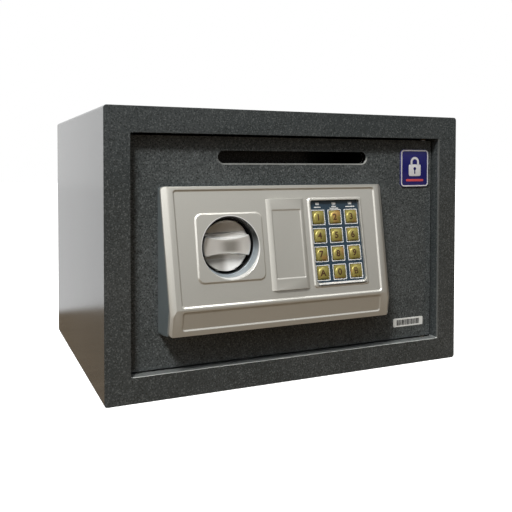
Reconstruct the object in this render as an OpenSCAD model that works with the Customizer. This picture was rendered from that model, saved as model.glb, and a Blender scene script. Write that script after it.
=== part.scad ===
// Small electronic drop safe. A folded steel cabinet holds a recessed door on two hidden pins.
// The door has a deposit slot with a chute behind it, and a lock panel with a knob, a keypad
// and an emergency lock under a pull-off cover. Behind the door are the bolt work, the
// solenoid that blocks it, and the batteries, all under one sheet case.
// Millimetres. X runs to the right, Y from the front to the back, Z up. The origin is the
// middle of the cabinet's underside. A depth is counted backwards from the cabinet's front face.

/* [Cabinet] */
// Width of the cabinet
cab_w = 320; // [300:5:400]
// Height of the cabinet
cab_h = 220; // [215:5:320]
// Depth of the cabinet from its front face to its back face
cab_d = 245; // [180:5:400]
// Thickness of the body sheet
sheet_t = 2; // [1.5:0.1:2.4]
// Outer radius of the folds along the cabinet's long edges
fold_r = 2.5; // [2.5:0.5:6]
// Width of the frame that shows round the door
frame_band = 19.5; // [18:0.5:24]
// Depth of the flange that lines the door opening
flange_depth = 20; // [19:0.5:24]
// Thickness of that flange
flange_t = 1.8; // [1.2:0.1:2.5]
// Thickness of the floor mat
mat_t = 3; // [2:0.5:5]
// Free edge round the floor mat
mat_edge = 2; // [1:0.5:6]
// Diameter of the anchor holes in the base and the back
anchor_d = 10; // [8:0.5:12]
// Distance between the two anchor holes of a wall
anchor_pitch = 120; // [80:5:180]
// Diameter of the holes in the mat over the base anchors
mat_hole_d = 18; // [16:1:24]

/* [Door] */
// Depth of the door's face behind the cabinet's front face
door_recess = 9; // [8:0.5:10]
// Thickness of the door plate
door_t = 6; // [5.5:0.5:7]
// Gap all round between the door plate and the opening
door_gap = 1.5; // [1.4:0.1:2]
// Radius of the corners of the door plate and its opening
door_corner_r = 1.5; // [1:0.5:3]
// Distance of the hinge axis from the plate's right edge
hinge_inset = 6.5; // [6.5:0.5:9]
// Diameter of the hinge pins
hinge_pin_d = 4; // [3:0.5:4.5]
// Length of a hinge pin inside the plate's edge
hinge_pin_held = 12; // [8:1:20]
// Length of the bearing part of a hinge bush
hinge_bush_len = 10; // [6:0.5:11]
// Outer diameter of a hinge bush
hinge_bush_d = 6; // [5.5:0.5:8]
// Running gap between the door's edge and a bush's face
hinge_end_gap = 0.4; // [0.3:0.05:0.6]
// Width of the steel block that backs a hinge bush
hinge_block_w = 15; // [11:0.5:15]
// Radial clearance of every running fit
run_fit = 0.06; // [0.02:0.01:0.1]

/* [Deposit slot] */
// Length of the deposit slot
slot_l = 138; // [100:2:160]
// Height of the deposit slot
slot_h = 10; // [8:0.5:12]
// Distance of the slot's middle from the door's top edge
slot_drop = 16; // [14:0.5:18]
// Sheet thickness of the chute and its comb
chute_t = 1.2; // [1:0.1:2]
// Free space between the slot's ends and the chute's cheeks
chute_side = 2; // [1:0.5:5]
// Free space between the slot and the chute's roof
chute_head = 2; // [1:0.5:4]
// Length of the chute behind the door plate
chute_l = 52; // [50:1:70]
// Free gap behind the chute's floor through which a deposit drops
drop_gap = 12; // [8:0.5:14]
// Fall of the chute's floor over its length
chute_fall = 3; // [1:0.5:4]
// Width of one tooth of the comb
tooth_w = 10; // [6:1:16]
// Length of one tooth of the comb
tooth_l = 7; // [4:0.5:8]
// How far the comb's plate hangs below the chute's floor
comb_drop = 1; // [0:0.5:4]

/* [Lock panel] */
// Place of the panel's middle to the right of the door's middle
panel_x = -18.7; // [-24:0.1:-12]
// Distance of the panel's top edge below the deposit slot
panel_drop = 17.8; // [16:0.1:22]
// Depth of the face at its top edge, behind the cabinet's front face
panel_top_d = 1; // [0.5:0.1:1.5]
// Lean of the face: it stands further out at the bottom
face_tilt = 11; // [10:0.5:12]
// Height of the ridge above the panel's bottom edge
ridge_up = 22.4; // [20:0.2:24]
// Lean of the chin below the ridge, back towards the door
chin_tilt = 9; // [6:0.5:12]
// Height of the silver front's bottom edge above the base's
chin_up = 2.4; // [1:0.2:4]
// Depth of the silver front's sides
front_deep = 4.6; // [4:0.1:6]
// Radius of the corners of the panel
corner_r = 3; // [1:0.5:4]
// Width of the sloping edges beside the face
edge_w = 4.2; // [2:0.1:5]
// Depth of the sloping edges beside the face
edge_deep = 2.6; // [1:0.1:3]
// Width of the sloping edges beside the chin
chin_edge_w = 1.8; // [0.8:0.1:2.4]
// Depth of the sloping edges beside the chin
chin_edge_deep = 1.4; // [0.6:0.1:2]
// Thickness of the silver front's face
front_wall = 3; // [2.6:0.1:3.4]
// Thickness of the panel's side walls
panel_wall = 2.2; // [1.6:0.1:3]
// Taper of the panel's sides, as width lost for each millimetre of depth
panel_taper = 0.12; // [0.05:0.01:0.16]
// Width of the raised rim beside the sunk field
rim_side = 8.7; // [7:0.1:10]
// Width of the raised rim above the sunk field
rim_top = 3; // [2:0.1:4]
// Width of the raised rim below the sunk field
rim_foot = 2; // [1.5:0.1:3]
// Depth of the sunk field
field_sink = 1; // [0.6:0.1:1.2]
// Radius of the sunk field's corners
field_r = 2; // [2:0.5:4]
// Width of the slope at the border of every sunk or raised shape
slope_w = 1.2; // [0.4:0.1:1.2]
// Height of the sunk strip on the chin
strip_h = 13.7; // [10:0.1:14]
// Depth of the sunk strip on the chin
strip_sink = 0.8; // [0.4:0.1:1.2]
// Distance of the strip from the ridge
strip_drop = 2; // [1:0.1:3]
// Width of the chin beside the strip
strip_side = 9.5; // [8:0.1:12]
// Distance of the panel's screws from its sides
panel_screw_side = 14; // [10:0.5:14]
// Distance of the panel's screws from its top and bottom edges
panel_screw_end = 14; // [13:0.5:16]

/* [Knob] */
// Distance of the raised square round the knob from the sunk field's left edge
knob_plate_in = 17.1; // [12:0.1:22]
// How far the knob's axis lies below the middle of the cover beside it
knob_below = 0.3; // [0:0.1:3]
// Diameter of the knob
knob_d = 40.4; // [36:0.2:42]
// Depth of the knob's front, behind the cabinet's front face
knob_d0 = -0.5; // [-2:0.1:0.5]
// Thickness of the knob's disc
knob_t = 7; // [6:0.1:7.5]
// Width of the slope round the knob's front
knob_edge = 1; // [0.4:0.1:1.4]
// Diameter of the round dish that the knob lies in, where its axis meets the face
pocket_d = 47.6; // [47:0.1:49]
// How much the dish's radius grows for each millimetre towards the front
pocket_slope = 0.15; // [0.05:0.01:0.2]
// Depth of the dish's floor, behind the cabinet's front face
pocket_floor_d = 0; // [-1:0.1:1]
// Diameter of the bore behind the dish's floor
pocket_bore_d = 43.6; // [43:0.1:44.4]
// Thickness of the pocket's wall and floor
pocket_wall = 1.2; // [1:0.1:1.3]
// Width of the raised square round the pocket
knob_plate_w = 55.2; // [54:0.1:58]
// Height of the raised square round the pocket
knob_plate_h = 52.5; // [52:0.1:55]
// Radius of the raised square's corners
knob_plate_r = 5; // [3:0.5:8]
// Width of the grip bar at its waist
grip_waist = 11.2; // [8:0.1:14]
// Radius of the curved sides of the grip bar
grip_side_r = 62; // [50:1:90]
// Radius of the finger scoops beside the grip bar
scoop_r = 24; // [20:0.5:30]
// Depth of the finger scoops beside the grip bar
scoop_deep = 5; // [3:0.1:5.5]
// Diameter of the knob's spindle
spindle_d = 8; // [7:0.5:9]
// Outer diameter of the spindle's bush in the door
spindle_bush_d = 12; // [11:0.5:14]

/* [Emergency lock] */
// Width of the pull-off cover at the field
cover_w = 34.1; // [32:0.1:35]
// Height of the pull-off cover
cover_h = 72.4; // [69:0.1:74]
// Gap between the raised square round the knob and the cover
cover_gap = 4.55; // [3:0.05:6]
// Distance of the cover's bottom edge above the sunk field's bottom edge
cover_up = 6.9; // [6:0.1:9]
// Height of the cover above the sunk field
cover_t = 2; // [1.2:0.1:2.6]
// Width of the cover's sloping sides
cover_bevel = 3.6; // [2:0.1:4]
// Width of the hatch that the cover closes
hatch_w = 25; // [22:0.5:26]
// Height of the hatch that the cover closes
hatch_h = 51.4; // [48:0.1:54]
// Width of the sunk rectangle on the cover
cover_sunk_w = 26.6; // [22:0.1:26.8]
// Height of the sunk rectangle on the cover
cover_sunk_h = 54.4; // [48:0.1:58]
// Depth of the sunk rectangle on the cover
cover_sunk = 0.6; // [0.3:0.1:0.9]
// Clearance of the cover's rear skirt in its opening
cover_fit = 0.3; // [0.2:0.05:0.5]
// Length of the cover's rear skirt
cover_skirt = 3.6; // [3.2:0.1:5]
// Wall of the cover's rear skirt
skirt_wall = 1.2; // [0.8:0.1:2]
// Diameter of the lock's barrel
barrel_d = 19; // [16:0.5:19]
// Diameter of the lock's turning plug
plug_d = 12; // [9:0.5:12]
// Diameter of the lock's shoulder on the door
barrel_shoulder_d = 24; // [21:0.5:24]
// Thickness of the lock's shoulder
barrel_shoulder_t = 2.5; // [1.5:0.1:4]
// Thickness of the nut that holds the barrel
barrel_nut_t = 3.5; // [2.5:0.5:4.5]
// Width across the flats of that nut
barrel_nut_af = 24; // [22:0.5:25]
// How far the barrel's axis lies below the cover's middle
barrel_below = 3.9; // [3:0.1:6]
// Depth of the barrel's mouth behind the cabinet's front face
barrel_d0 = -1; // [-2:0.1:0.5]
// Depth of the barrel's rear end
barrel_d1 = 31; // [30:0.5:32]
// How far the plug stands out behind the barrel, up to the lever
plug_out = 2; // [1.5:0.1:3]
// Thickness of the lock's lever
lever_t = 3; // [2:0.5:3]
// Width of the lock's lever
lever_w = 8; // [6:0.5:9]
// Outer diameter of the round key's groove in the plug
key_groove_d = 8.2; // [7:0.1:8.4]
// Width of that groove
key_groove_w = 1.7; // [1:0.1:2]
// Depth of that groove
key_groove_deep = 6; // [4:0.5:8]
// Width of the notch for the key's tooth
key_notch_w = 1.6; // [1:0.1:2.4]
// Length of that notch from the plug's axis
key_notch_l = 5; // [4.4:0.1:5.4]

/* [Keypad] */
// Width of the keypad's raised rim
pad_w = 50.8; // [50:0.1:52]
// Thickness of the raised rim beside the window
pad_rim = 1.8; // [1.2:0.1:1.9]
// Thickness of the raised rim below the window
pad_foot = 3.4; // [3:0.1:3.6]
// Width of the slope between that rim and the printed plate
pad_foot_slope = 2.5; // [1:0.1:2.6]
// Gap between the cover and the keypad's rim
pad_gap = 4.15; // [3:0.05:6]
// Distance of the keypad's rim from the sunk field's right edge
pad_in = 14.7; // [10:0.1:20]
// Distance of the keypad's rim from the sunk field's top edge
pad_head = 8; // [5:0.1:12]
// Lap of the printed plate behind the window's edge
plate_lap = 1.5; // [1:0.1:2]
// Distance between the columns of keys
key_pitch_x = 15.75; // [15:0.05:15.8]
// Distance between the rows of keys
key_pitch_v = 15.15; // [15:0.05:15.3]
// Side of a key
key_w = 10.6; // [9.5:0.1:11]
// Radius of a key's corners
key_r = 1.6; // [1:0.1:2.5]
// Height of a key over the printed plate
key_high = 1; // [0.9:0.1:1.8]
// Radius of the crowned top of a key
key_crown_r = 40; // [36:1:60]
// Gap round a key in the printed plate
key_gap = 0.3; // [0.2:0.05:0.4]
// Travel of a key
key_travel = 0.8; // [0.6:0.1:1.2]
// Distance of the middle of the lowest row above the rim's bottom edge
key_row_up = 11.3; // [11:0.1:11.6]
// Thickness of the printed plate
overlay_t = 0.8; // [0.6:0.1:1]
// Width of the collar that keeps a key behind the plate
key_collar = 0.9; // [0.6:0.1:1.2]
// Thickness of that collar
key_collar_t = 0.7; // [0.5:0.1:1]
// Room between a pressed key's collar and the circuit board
board_room = 1.5; // [1.3:0.1:1.8]
// Thickness of the keypad's circuit board
board_t = 1.4; // [1:0.1:1.6]
// Gap between the printed plate and the posts beside it
post_gap = 0.3; // [0.2:0.1:0.6]
// Height of the circuit board beyond the window at each end
board_end = 2.5; // [2:0.1:3]
// Width of a status lamp's lens
lamp_w = 3.4; // [2.5:0.1:4]
// Height of a status lamp's lens
lamp_h = 1.9; // [1.4:0.1:3]
// Distance of the status lamps above the top row of keys
lamp_up = 11.3; // [10.5:0.1:11.5]
// Diameter of the posts that carry the board
board_post_d = 4.4; // [4:0.1:5]
// Diameter of the board's screws
board_screw_d = 2; // [1.6:0.1:2.4]

/* [Bolt work] */
// Diameter of the two locking bolts
bolt_d = 14; // [12:0.5:14]
// Distance of each bolt above or below the knob's axis
bolt_off = 38; // [34:0.5:40]
// Gap between the resting bolts and the edge of the door plate
bolt_back = 0.5; // [0:0.1:3]
// Gap between the frame's flange and the bolts behind it
bolt_clear = 1; // [0.6:0.1:2]
// Radius of the crank pin's path
crank_r = 11; // [10:0.2:11]
// Diameter of the crank pin
crank_pin_d = 6; // [5:0.5:6]
// Play of the crank pin in its slot, each side
crank_play = 0.5; // [0.45:0.05:0.7]
// Thickness of the crank
crank_t = 3; // [2:0.5:3]
// Gap between the crank and the door plate
crank_gap = 0.6; // [0.3:0.1:0.8]
// Thickness of the sliding carriage and of the bolt bracket
slider_t = 2.5; // [2:0.1:3]
// Gap between the crank and the sliding carriage
slider_gap = 0.8; // [0.6:0.1:0.9]
// Distance of the carriage's left edge from the knob's axis
slider_left = 34; // [33:0.5:35]
// Distance of the carriage's right edge from the knob's axis
slider_right = 22; // [20:0.5:23]
// Distance of the guide studs to the left of the knob's axis
stud_left = 19.5; // [19:0.1:20]
// Distance of each guide stud above or below the knob's axis
stud_off = 28; // [25:0.5:29]
// Diameter of the guide studs
stud_d = 6; // [5:0.5:6]
// Diameter of the threaded end of a bolt
bolt_stub_d = 6; // [5:0.5:8]
// Thickness of the nuts on the bolts
bolt_nut_t = 5; // [4:0.5:6]
// Width across the flats of the nuts on the bolts
bolt_nut_af = 10; // [9:0.5:11.5]
// Gap between the extended carriage and the bracket that guides the bolts
bracket_gap = 1; // [0.6:0.1:1.6]

/* [Solenoid] */
// Diameter of the plunger
plunger_d = 7; // [6:0.5:7]
// Travel of the plunger
plunger_travel = 6; // [4:0.5:6.5]
// Place of the plunger to the left of the emergency lock's axis
plunger_left = 8.9; // [8:0.1:10]
// Diameter of the collar that the lever lifts
plunger_collar_d = 16; // [15:0.5:17]
// Thickness of that collar
plunger_collar_t = 2; // [1.5:0.5:3]
// Diameter of the coil
coil_d = 20; // [17:0.5:22]
// Length of the coil
coil_l = 18; // [14:0.5:18.5]
// Length of the spring between the collar and the solenoid's frame
plunger_spring_l = 5; // [4:0.5:6]
// Width of the solenoid's frame
yoke_w = 26; // [24:0.5:27]
// Thickness of the solenoid's frame
yoke_t = 2; // [1.5:0.1:2]
// Height of the carriage's arm above the emergency lock's barrel
arm_up = 1.5; // [1:0.1:2]
// Height of the carriage's arm
arm_h = 9.5; // [8:0.5:10]
// Radial play of the plunger in the arm's holes
detent_play = 0.4; // [0.3:0.05:0.6]

/* [Rear case] */
// Room between the extended carriage and the case's left edge
case_side = 6.1; // [5.5:0.1:8]
// Room between the solenoid's frame and the case's roof
case_head = 1.7; // [1:0.1:2.5]
// Room between the carriage's lower edge and the case's bottom edge
case_foot = 10.6; // [10:0.1:14]
// Depth of the rear case behind the door plate
case_deep = 37; // [36:0.5:40]
// Sheet thickness of the rear case
case_t = 1.2; // [1:0.1:1.6]
// Length of the rear case's screw ears
case_ear = 9; // [8:0.5:9.5]
// Distance of the ears' screws from the case's left and right edges
case_ear_in = 14; // [10:0.5:16]
// Diameter of the screws that hold the case and the panel
screw_d = 4; // [3:0.5:4]
// Diameter of their heads
screw_head_d = 7.4; // [7:0.1:7.6]
// Height of their heads
screw_head_t = 2.4; // [1.8:0.1:2.6]

/* [Batteries] */
// Diameter of a cell
cell_d = 14.2; // [13.5:0.1:14.5]
// Length of a cell
cell_l = 50; // [48:0.1:50.5]
// Wall of the battery tray
tray_wall = 1.4; // [1:0.1:2]
// Play round a cell in the tray
cell_play = 0.3; // [0.2:0.05:0.5]
// Room between the emergency lock's lever and the tray
tray_gap = 18.2; // [16:0.1:24]
// Distance of the tray from the case's right edge
tray_right = 8; // [6:0.5:12]
// Overlap of the lid on the case round its opening
lid_lap = 3; // [2:0.5:4]
// Thickness of the battery lid
lid_t = 2; // [1.5:0.1:3]
// Diameter of the lid's hinge pins
lid_pin_d = 3; // [2.5:0.1:3.5]
// Free length in the tray for the cells' contacts
cell_contact = 4; // [2:0.5:5]
// Distance of the reset button to the left of the tray
reset_left = 22; // [18:0.5:26]
// Height of the reset button above the case's bottom edge
reset_up = 12; // [10:0.5:24]
// Diameter of the reset button
reset_d = 8; // [6:0.5:10]
// Travel of the reset button
reset_travel = 2; // [1:0.1:2.5]

/* [Plates on the door] */
// Width of the badge
badge_w = 31; // [28:0.5:32]
// Height of the badge
badge_h = 34; // [30:0.5:36]
// Thickness of the badge
badge_t = 1.2; // [0.8:0.1:1.6]
// Radius of the badge's corners
badge_r = 3.5; // [2:0.5:6]
// Distance of the badge's middle from the door plate's right edge
badge_right = 18.8; // [18:0.1:22]
// Distance of the badge's middle from the door plate's top edge
badge_down = 25; // [22:0.5:30]
// Width of the number strip
strip_label_w = 32; // [24:0.5:34]
// Height of the number strip
strip_label_h = 7.5; // [6:0.5:10]
// Thickness of the number strip
strip_label_t = 0.4; // [0.3:0.1:0.6]
// Distance of the number strip's middle from the door plate's right edge
strip_label_right = 24.2; // [20:0.1:26]
// Distance of the number strip's middle from the door plate's bottom edge
strip_label_up = 14.2; // [10:0.1:16]

/* [Hidden] */
$fn = 64;
// Cut that runs a little past a face
over = 1;
// Gap between pieces of one assembly that lie on each other without a fit
seat_gap = 0.02;
// Length that a screw bites behind the sheet it holds, and the spare depth of its hole
screw_bite = 3.5;
hole_spare = 0.5;
function depth_y(d) = d - cab_d / 2;

// Opening and door plate
open_w = cab_w - 2 * frame_band;
open_h = cab_h - 2 * frame_band;
door_w = open_w - 2 * door_gap;
door_h = open_h - 2 * door_gap;
door_x0 = -door_w / 2;
door_x1 = door_w / 2;
door_z0 = frame_band + door_gap;
door_z1 = door_z0 + door_h;
door_back = door_recess + door_t;
hinge_x = door_x1 - hinge_inset;
hinge_d = door_recess + door_t / 2;
slot_z = door_z1 - slot_drop;

// Lock panel outline and the lines of its face
field_w = knob_plate_in + knob_plate_w + cover_gap + cover_w + pad_gap + pad_w + pad_in;
face_len = rim_foot + cover_up + cover_h + pad_head + rim_top;
panel_w = field_w + 2 * rim_side;
panel_h = ridge_up + face_len * cos(face_tilt);
panel_x0 = panel_x - panel_w / 2;
panel_x1 = panel_x + panel_w / 2;
panel_z1 = slot_z - slot_h / 2 - panel_drop;
panel_z0 = panel_z1 - panel_h;
ridge_z = panel_z0 + ridge_up;
chin_z = panel_z0 + chin_up;
function face_d(z) = panel_top_d - (panel_z1 - z) * tan(face_tilt);
function chin_d(z) = face_d(ridge_z) + (ridge_z - z) * tan(chin_tilt);
panel_reach = door_recess - face_d(ridge_z);
chin_len = (ridge_z - chin_z) / cos(chin_tilt);
function half_width(d) = panel_w / 2 - panel_taper * (door_recess - d);
function face_half(v) = half_width(face_d(ridge_z + v * cos(face_tilt)));
function chin_half(v) = half_width(chin_d(ridge_z + v * cos(chin_tilt)));
edge_past = 10;
lip = 0.2;
// Side faces of a sloped solid stay this far inside its corner cones
seam = 0.005;
small_r = 0.8;
field_v0 = rim_foot;
field_v1 = face_len - rim_top;

// Knob and pocket
cover_v = field_v0 + cover_up + cover_h / 2;
knob_x = panel_x0 + rim_side + knob_plate_in + knob_plate_w / 2;
knob_v = cover_v - knob_below;
knob_z = ridge_z + knob_v * cos(face_tilt);
pocket_gap = 0.3;
pocket_back = door_recess - pocket_gap;
spindle_held = 4;
scoop_off = 3;

// Emergency lock
cover_cx = knob_x + knob_plate_w / 2 + cover_gap + cover_w / 2;
barrel_z = ridge_z + cover_v * cos(face_tilt) - barrel_below;
lever_d0 = barrel_d1 + plug_out;

// Keypad, counted along the face
pad_cx = cover_cx + cover_w / 2 + pad_gap + pad_w / 2;
pad_h = cover_h;
pad_v = cover_v;
window_w = pad_w - 2 * pad_rim;
window_h = pad_h - pad_rim - pad_foot;
window_v = pad_v + (pad_foot - pad_rim) / 2;
key_v0 = pad_v - pad_h / 2 + key_row_up;
KEYS = [["a", "0", "b"], ["7", "8", "9"], ["4", "5", "6"], ["1", "2", "3"]];
overlay_n = -front_wall * cos(face_tilt) - seat_gap;
board_n = overlay_n - overlay_t - key_collar_t - key_travel - board_room;
post_in = 2.4;
post_root = 0.12;
post_x = window_w / 2 + plate_lap + post_gap + board_post_d / 2;
board_w = 2 * (post_x + post_in);
board_h = window_h + 2 * board_end;
board_bite = 1.9;
board_head_t = 0.8;
key_stop = 0.2;
collar_play = 0.05;
lamp_play = 0.1;
lens_proud = 0.3;
lamp_v = key_v0 + 3 * key_pitch_v + lamp_up;

// Bolt work
crank_start = 45;
bolt_throw = 2 * crank_r * sin(crank_start);
pin_dx = crank_r * cos(crank_start);
bolt_axis_d = flange_depth + bolt_clear + bolt_d / 2;
bolt_tip_x = door_x0 + bolt_back;
crank_d0 = door_back + crank_gap;
slider_d0 = crank_d0 + crank_t + slider_gap;
slider_d1 = slider_d0 + slider_t;
slider_edge = 3;
slider_x0 = knob_x - slider_left;
slider_x1 = knob_x + slider_right;
slider_z0 = knob_z - bolt_off - bolt_d / 2 - slider_edge;
slider_z1 = knob_z + bolt_off + bolt_d / 2 + slider_edge;
stud_x = knob_x - stud_left;
slide_play = 0.1;
washer_t = 1.5;
washer_d1 = slider_d1 + slide_play + washer_t;
end_past = 1;
bracket_x = slider_x0 - bolt_throw - bracket_gap;

// Solenoid
plunger_x = cover_cx - plunger_left;
plunger_room = 2.1;
plunger_axis_d = slider_d1 + plunger_room + plunger_d / 2;
arm_z0 = barrel_z + barrel_d / 2 + arm_up;
arm_z1 = arm_z0 + arm_h;
tip_gap = 0.2;
collar_gap = 1.4;
lever_gap = 0.3;
plunger_tip = arm_z1 + tip_gap;
collar_z = plunger_tip + plunger_travel + collar_gap;
yoke_z0 = collar_z + plunger_collar_t + plunger_spring_l;
yoke_z1 = yoke_z0 + coil_l + 2 * yoke_t;
lever_len = collar_z - lever_gap - barrel_z;

// Rear case
tray_w = 4 * (cell_d + cell_play) + cell_play + 2 * tray_wall;
tray_x0 = cover_cx + lever_len + tray_gap;
tray_x1 = tray_x0 + tray_w;
case_x0 = slider_x0 - bolt_throw - case_side;
case_x1 = tray_x1 + tray_right;
case_z0 = slider_z0 - case_foot;
case_z1 = yoke_z1 + case_head + case_t;
case_back = door_back + case_deep;

// Batteries
tray_h = cell_l + 2 * cell_play + 2 * tray_wall + cell_contact;
tray_deep = cell_d + cell_play + tray_wall;
tray_cz = (case_z0 + case_z1) / 2;
tray_z0 = tray_cz - tray_h / 2;
tray_z1 = tray_cz + tray_h / 2;
reset_x = tray_x0 - reset_left;
reset_z = case_z0 + reset_up;
reset_back = case_back - case_t - collar_play;
reset_collar_t = 1.5;
reset_proud = 2.5;
reset_stop = 0.2;

// Flat shape with straight sides and round ends
module stadium(l, w) {
    square([l - w, w], center = true);
    for (s = [-1, 1]) translate([s * (l - w) / 2, 0]) circle(d = w);
}

// Rectangle about the origin with round corners
module round_rect(w, h, r) {
    square([w - 2 * r, h], center = true);
    square([w, h - 2 * r], center = true);
    for (sx = [-1, 1], sy = [-1, 1])
        translate([sx * (w / 2 - r), sy * (h / 2 - r)]) circle(r = r);
}

// Plate that stands upright, drawn as seen from the front, from depth d backwards
module standing(d, t) {
    translate([0, depth_y(d + t), 0]) rotate([90, 0, 0]) linear_extrude(t) children();
}

// Round bar from front to back between two depths
module rod_y(x, z, d0, d1, dia) {
    translate([x, depth_y(d1), z]) rotate([90, 0, 0]) cylinder(h = d1 - d0, d = dia);
}

// Outline of depths and heights, drawn out from left to right
module side_profile(x0, x1, points) {
    translate([x0, depth_y(0), 0]) rotate([90, 0, 90]) linear_extrude(x1 - x0) polygon(points);
}

// Box between two depths
module block(x0, x1, d0, d1, z0, z1) {
    translate([x0, depth_y(d0), z0]) cube([x1 - x0, d1 - d0, z1 - z0]);
}

// Frame on the leaning face: x as in the cabinet, y up the face from the ridge, z outwards
module on_face() {
    translate([0, depth_y(face_d(ridge_z)), ridge_z]) rotate([90 - face_tilt, 0, 0]) children();
}

// Frame on the chin: x as in the cabinet, y up to the ridge, z outwards
module on_chin() {
    translate([0, depth_y(face_d(ridge_z)), ridge_z]) rotate([90 + chin_tilt, 0, 0]) children();
}

// Button-headed screw whose head lies behind depth d, with its shank towards the front
module screw(x, z, d, l) {
    rod_y(x, z, d, d + screw_head_t, screw_head_d);
    rod_y(x, z, d - l, d, screw_d);
}

// Cabinet: one sheet folded round base, sides and top
module cabinet_wrap() {
    color([0.26, 0.27, 0.27]) difference() {
        standing(sheet_t, cab_d - sheet_t)
            translate([0, cab_h / 2]) round_rect(cab_w, cab_h, fold_r);
        standing(0, cab_d + over)
            translate([0, cab_h / 2])
                round_rect(cab_w - 2 * sheet_t, cab_h - 2 * sheet_t, fold_r - sheet_t);
        for (s = [-1, 1])
            translate([s * anchor_pitch / 2, 0, -over]) cylinder(h = sheet_t + 2 * over, d = anchor_d);
    }
}

// Back wall, welded in flush between the folded sheet's rear edges
module back_panel() {
    color([0.26, 0.27, 0.27]) difference() {
        standing(cab_d - sheet_t, sheet_t)
            translate([0, cab_h / 2])
                round_rect(cab_w - 2 * sheet_t, cab_h - 2 * sheet_t, fold_r - sheet_t);
        for (s = [-1, 1])
            rod_y(s * anchor_pitch / 2, cab_h / 2, cab_d - sheet_t - over, cab_d + over, anchor_d);
    }
}

// Front frame: the band that shows, with a flange turned back round the opening
module front_frame() {
    color([0.26, 0.27, 0.27]) difference() {
        union() {
            standing(0, sheet_t) translate([0, cab_h / 2]) round_rect(cab_w, cab_h, fold_r);
            standing(0, flange_depth)
                translate([0, cab_h / 2])
                    round_rect(open_w + 2 * flange_t, open_h + 2 * flange_t, door_corner_r + flange_t);
        }
        standing(-over, flange_depth + 2 * over)
            translate([0, cab_h / 2]) round_rect(open_w, open_h, door_corner_r);
        translate([hinge_x, depth_y(hinge_d), -over]) cylinder(h = cab_h + 2 * over, d = hinge_bush_d);
    }
}

// Ribbed mat on the cabinet's floor, with holes over the anchors
module floor_mat() {
    mat_w = cab_w - 2 * sheet_t - 2 * mat_edge;
    mat_d0 = flange_depth + mat_edge;
    color([0.10, 0.10, 0.10]) difference() {
        block(-mat_w / 2, mat_w / 2, mat_d0, cab_d - sheet_t - mat_edge, sheet_t, sheet_t + mat_t);
        for (s = [-1, 1])
            translate([s * anchor_pitch / 2, 0, 0])
                cylinder(h = sheet_t + mat_t + over, d = mat_hole_d);
    }
}

// Height of the flange's hidden face, below and above the opening
function flange_outer(s) = cab_h / 2 + s * (open_h / 2 + flange_t);

// Steel blocks welded behind the frame, one below and one above the door
module hinge_blocks() {
    color([0.26, 0.27, 0.27]) for (s = [-1, 1]) difference() {
        translate([0, 0, s < 0 ? flange_outer(s) - hinge_bush_len : flange_outer(s)])
            block(hinge_x - hinge_block_w / 2, hinge_x + hinge_block_w / 2, sheet_t, flange_depth,
                  0, hinge_bush_len);
        translate([hinge_x, depth_y(hinge_d), 0]) cylinder(h = cab_h, d = hinge_bush_d);
    }
}

// Brass bushes pressed through flange and block, whose faces stand out and carry the door's edge
module hinge_bushes() {
    proud = door_gap - hinge_end_gap;
    bush_l = proud + flange_t + hinge_bush_len;
    color([0.72, 0.58, 0.28]) for (s = [-1, 1])
        translate([hinge_x, depth_y(hinge_d), cab_h / 2 + s * (open_h / 2 - proud)])
            mirror([0, 0, s < 0 ? 1 : 0]) difference() {
                cylinder(h = bush_l, d = hinge_bush_d);
                translate([0, 0, -over]) cylinder(h = bush_l + 2 * over, d = hinge_pin_d + 2 * run_fit);
            }
}

// Door plate with the deposit slot and the holes for what passes through it
module door_plate() {
    color([0.25, 0.26, 0.26]) difference() {
        standing(door_recess, door_t)
            translate([0, (door_z0 + door_z1) / 2]) round_rect(door_w, door_h, door_corner_r);
        standing(door_recess - over, door_t + 2 * over) {
            translate([0, slot_z]) stadium(slot_l, slot_h);
            translate([knob_x, knob_z]) circle(d = spindle_bush_d);
            translate([cover_cx, barrel_z]) circle(d = barrel_d);
            for (p = panel_screw_places()) translate(p) circle(d = screw_d);
        }
        for (p = case_screw_places())
            rod_y(p[0], p[1], door_back - screw_bite - hole_spare, door_back + over, screw_d);
        for (z = [door_z0 - over, door_z1 - hinge_pin_held])
            translate([hinge_x, depth_y(hinge_d), z])
                cylinder(h = hinge_pin_held + over, d = hinge_pin_d);
    }
}

// Steel pins pressed into the top and bottom edges of the plate, a little shorter than the bushes
module hinge_pins() {
    short = 1;
    reach = hinge_pin_held + door_gap + flange_t + hinge_bush_len - short;
    color([0.70, 0.71, 0.72]) {
        translate([hinge_x, depth_y(hinge_d), door_z0 + hinge_pin_held - reach])
            cylinder(h = reach, d = hinge_pin_d);
        translate([hinge_x, depth_y(hinge_d), door_z1 - hinge_pin_held])
            cylinder(h = reach, d = hinge_pin_d);
    }
}

// Roof height of the chute and the height of its floor at the door
chute_z1 = slot_z + slot_h / 2 + chute_head;
chute_z0 = slot_z - slot_h / 2;
chute_half = slot_l / 2 + chute_side;

// Folded chute that leads what is posted over the rear case
module deposit_chute() {
    d1 = door_back + chute_l;
    lip = d1 - chute_t - drop_gap;
    inside = [[door_back - over, chute_z1], [d1 + over, chute_z1],
              [d1 + over, chute_z0 - chute_fall - over], [lip, chute_z0 - chute_fall],
              [door_back, chute_z0], [door_back - over, chute_z0]];
    outside = [[door_back, chute_z1 + chute_t], [d1, chute_z1 + chute_t],
               [d1, chute_z0 - chute_fall - chute_t], [lip, chute_z0 - chute_fall - chute_t],
               [door_back, chute_z0 - chute_t]];
    color([0.25, 0.26, 0.26]) difference() {
        side_profile(-chute_half - chute_t, chute_half + chute_t, outside);
        side_profile(-chute_half, chute_half, inside);
        block(-chute_half, chute_half, lip, d1 + over,
              chute_z0 - chute_fall - chute_t - over, chute_z0);
    }
}

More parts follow.
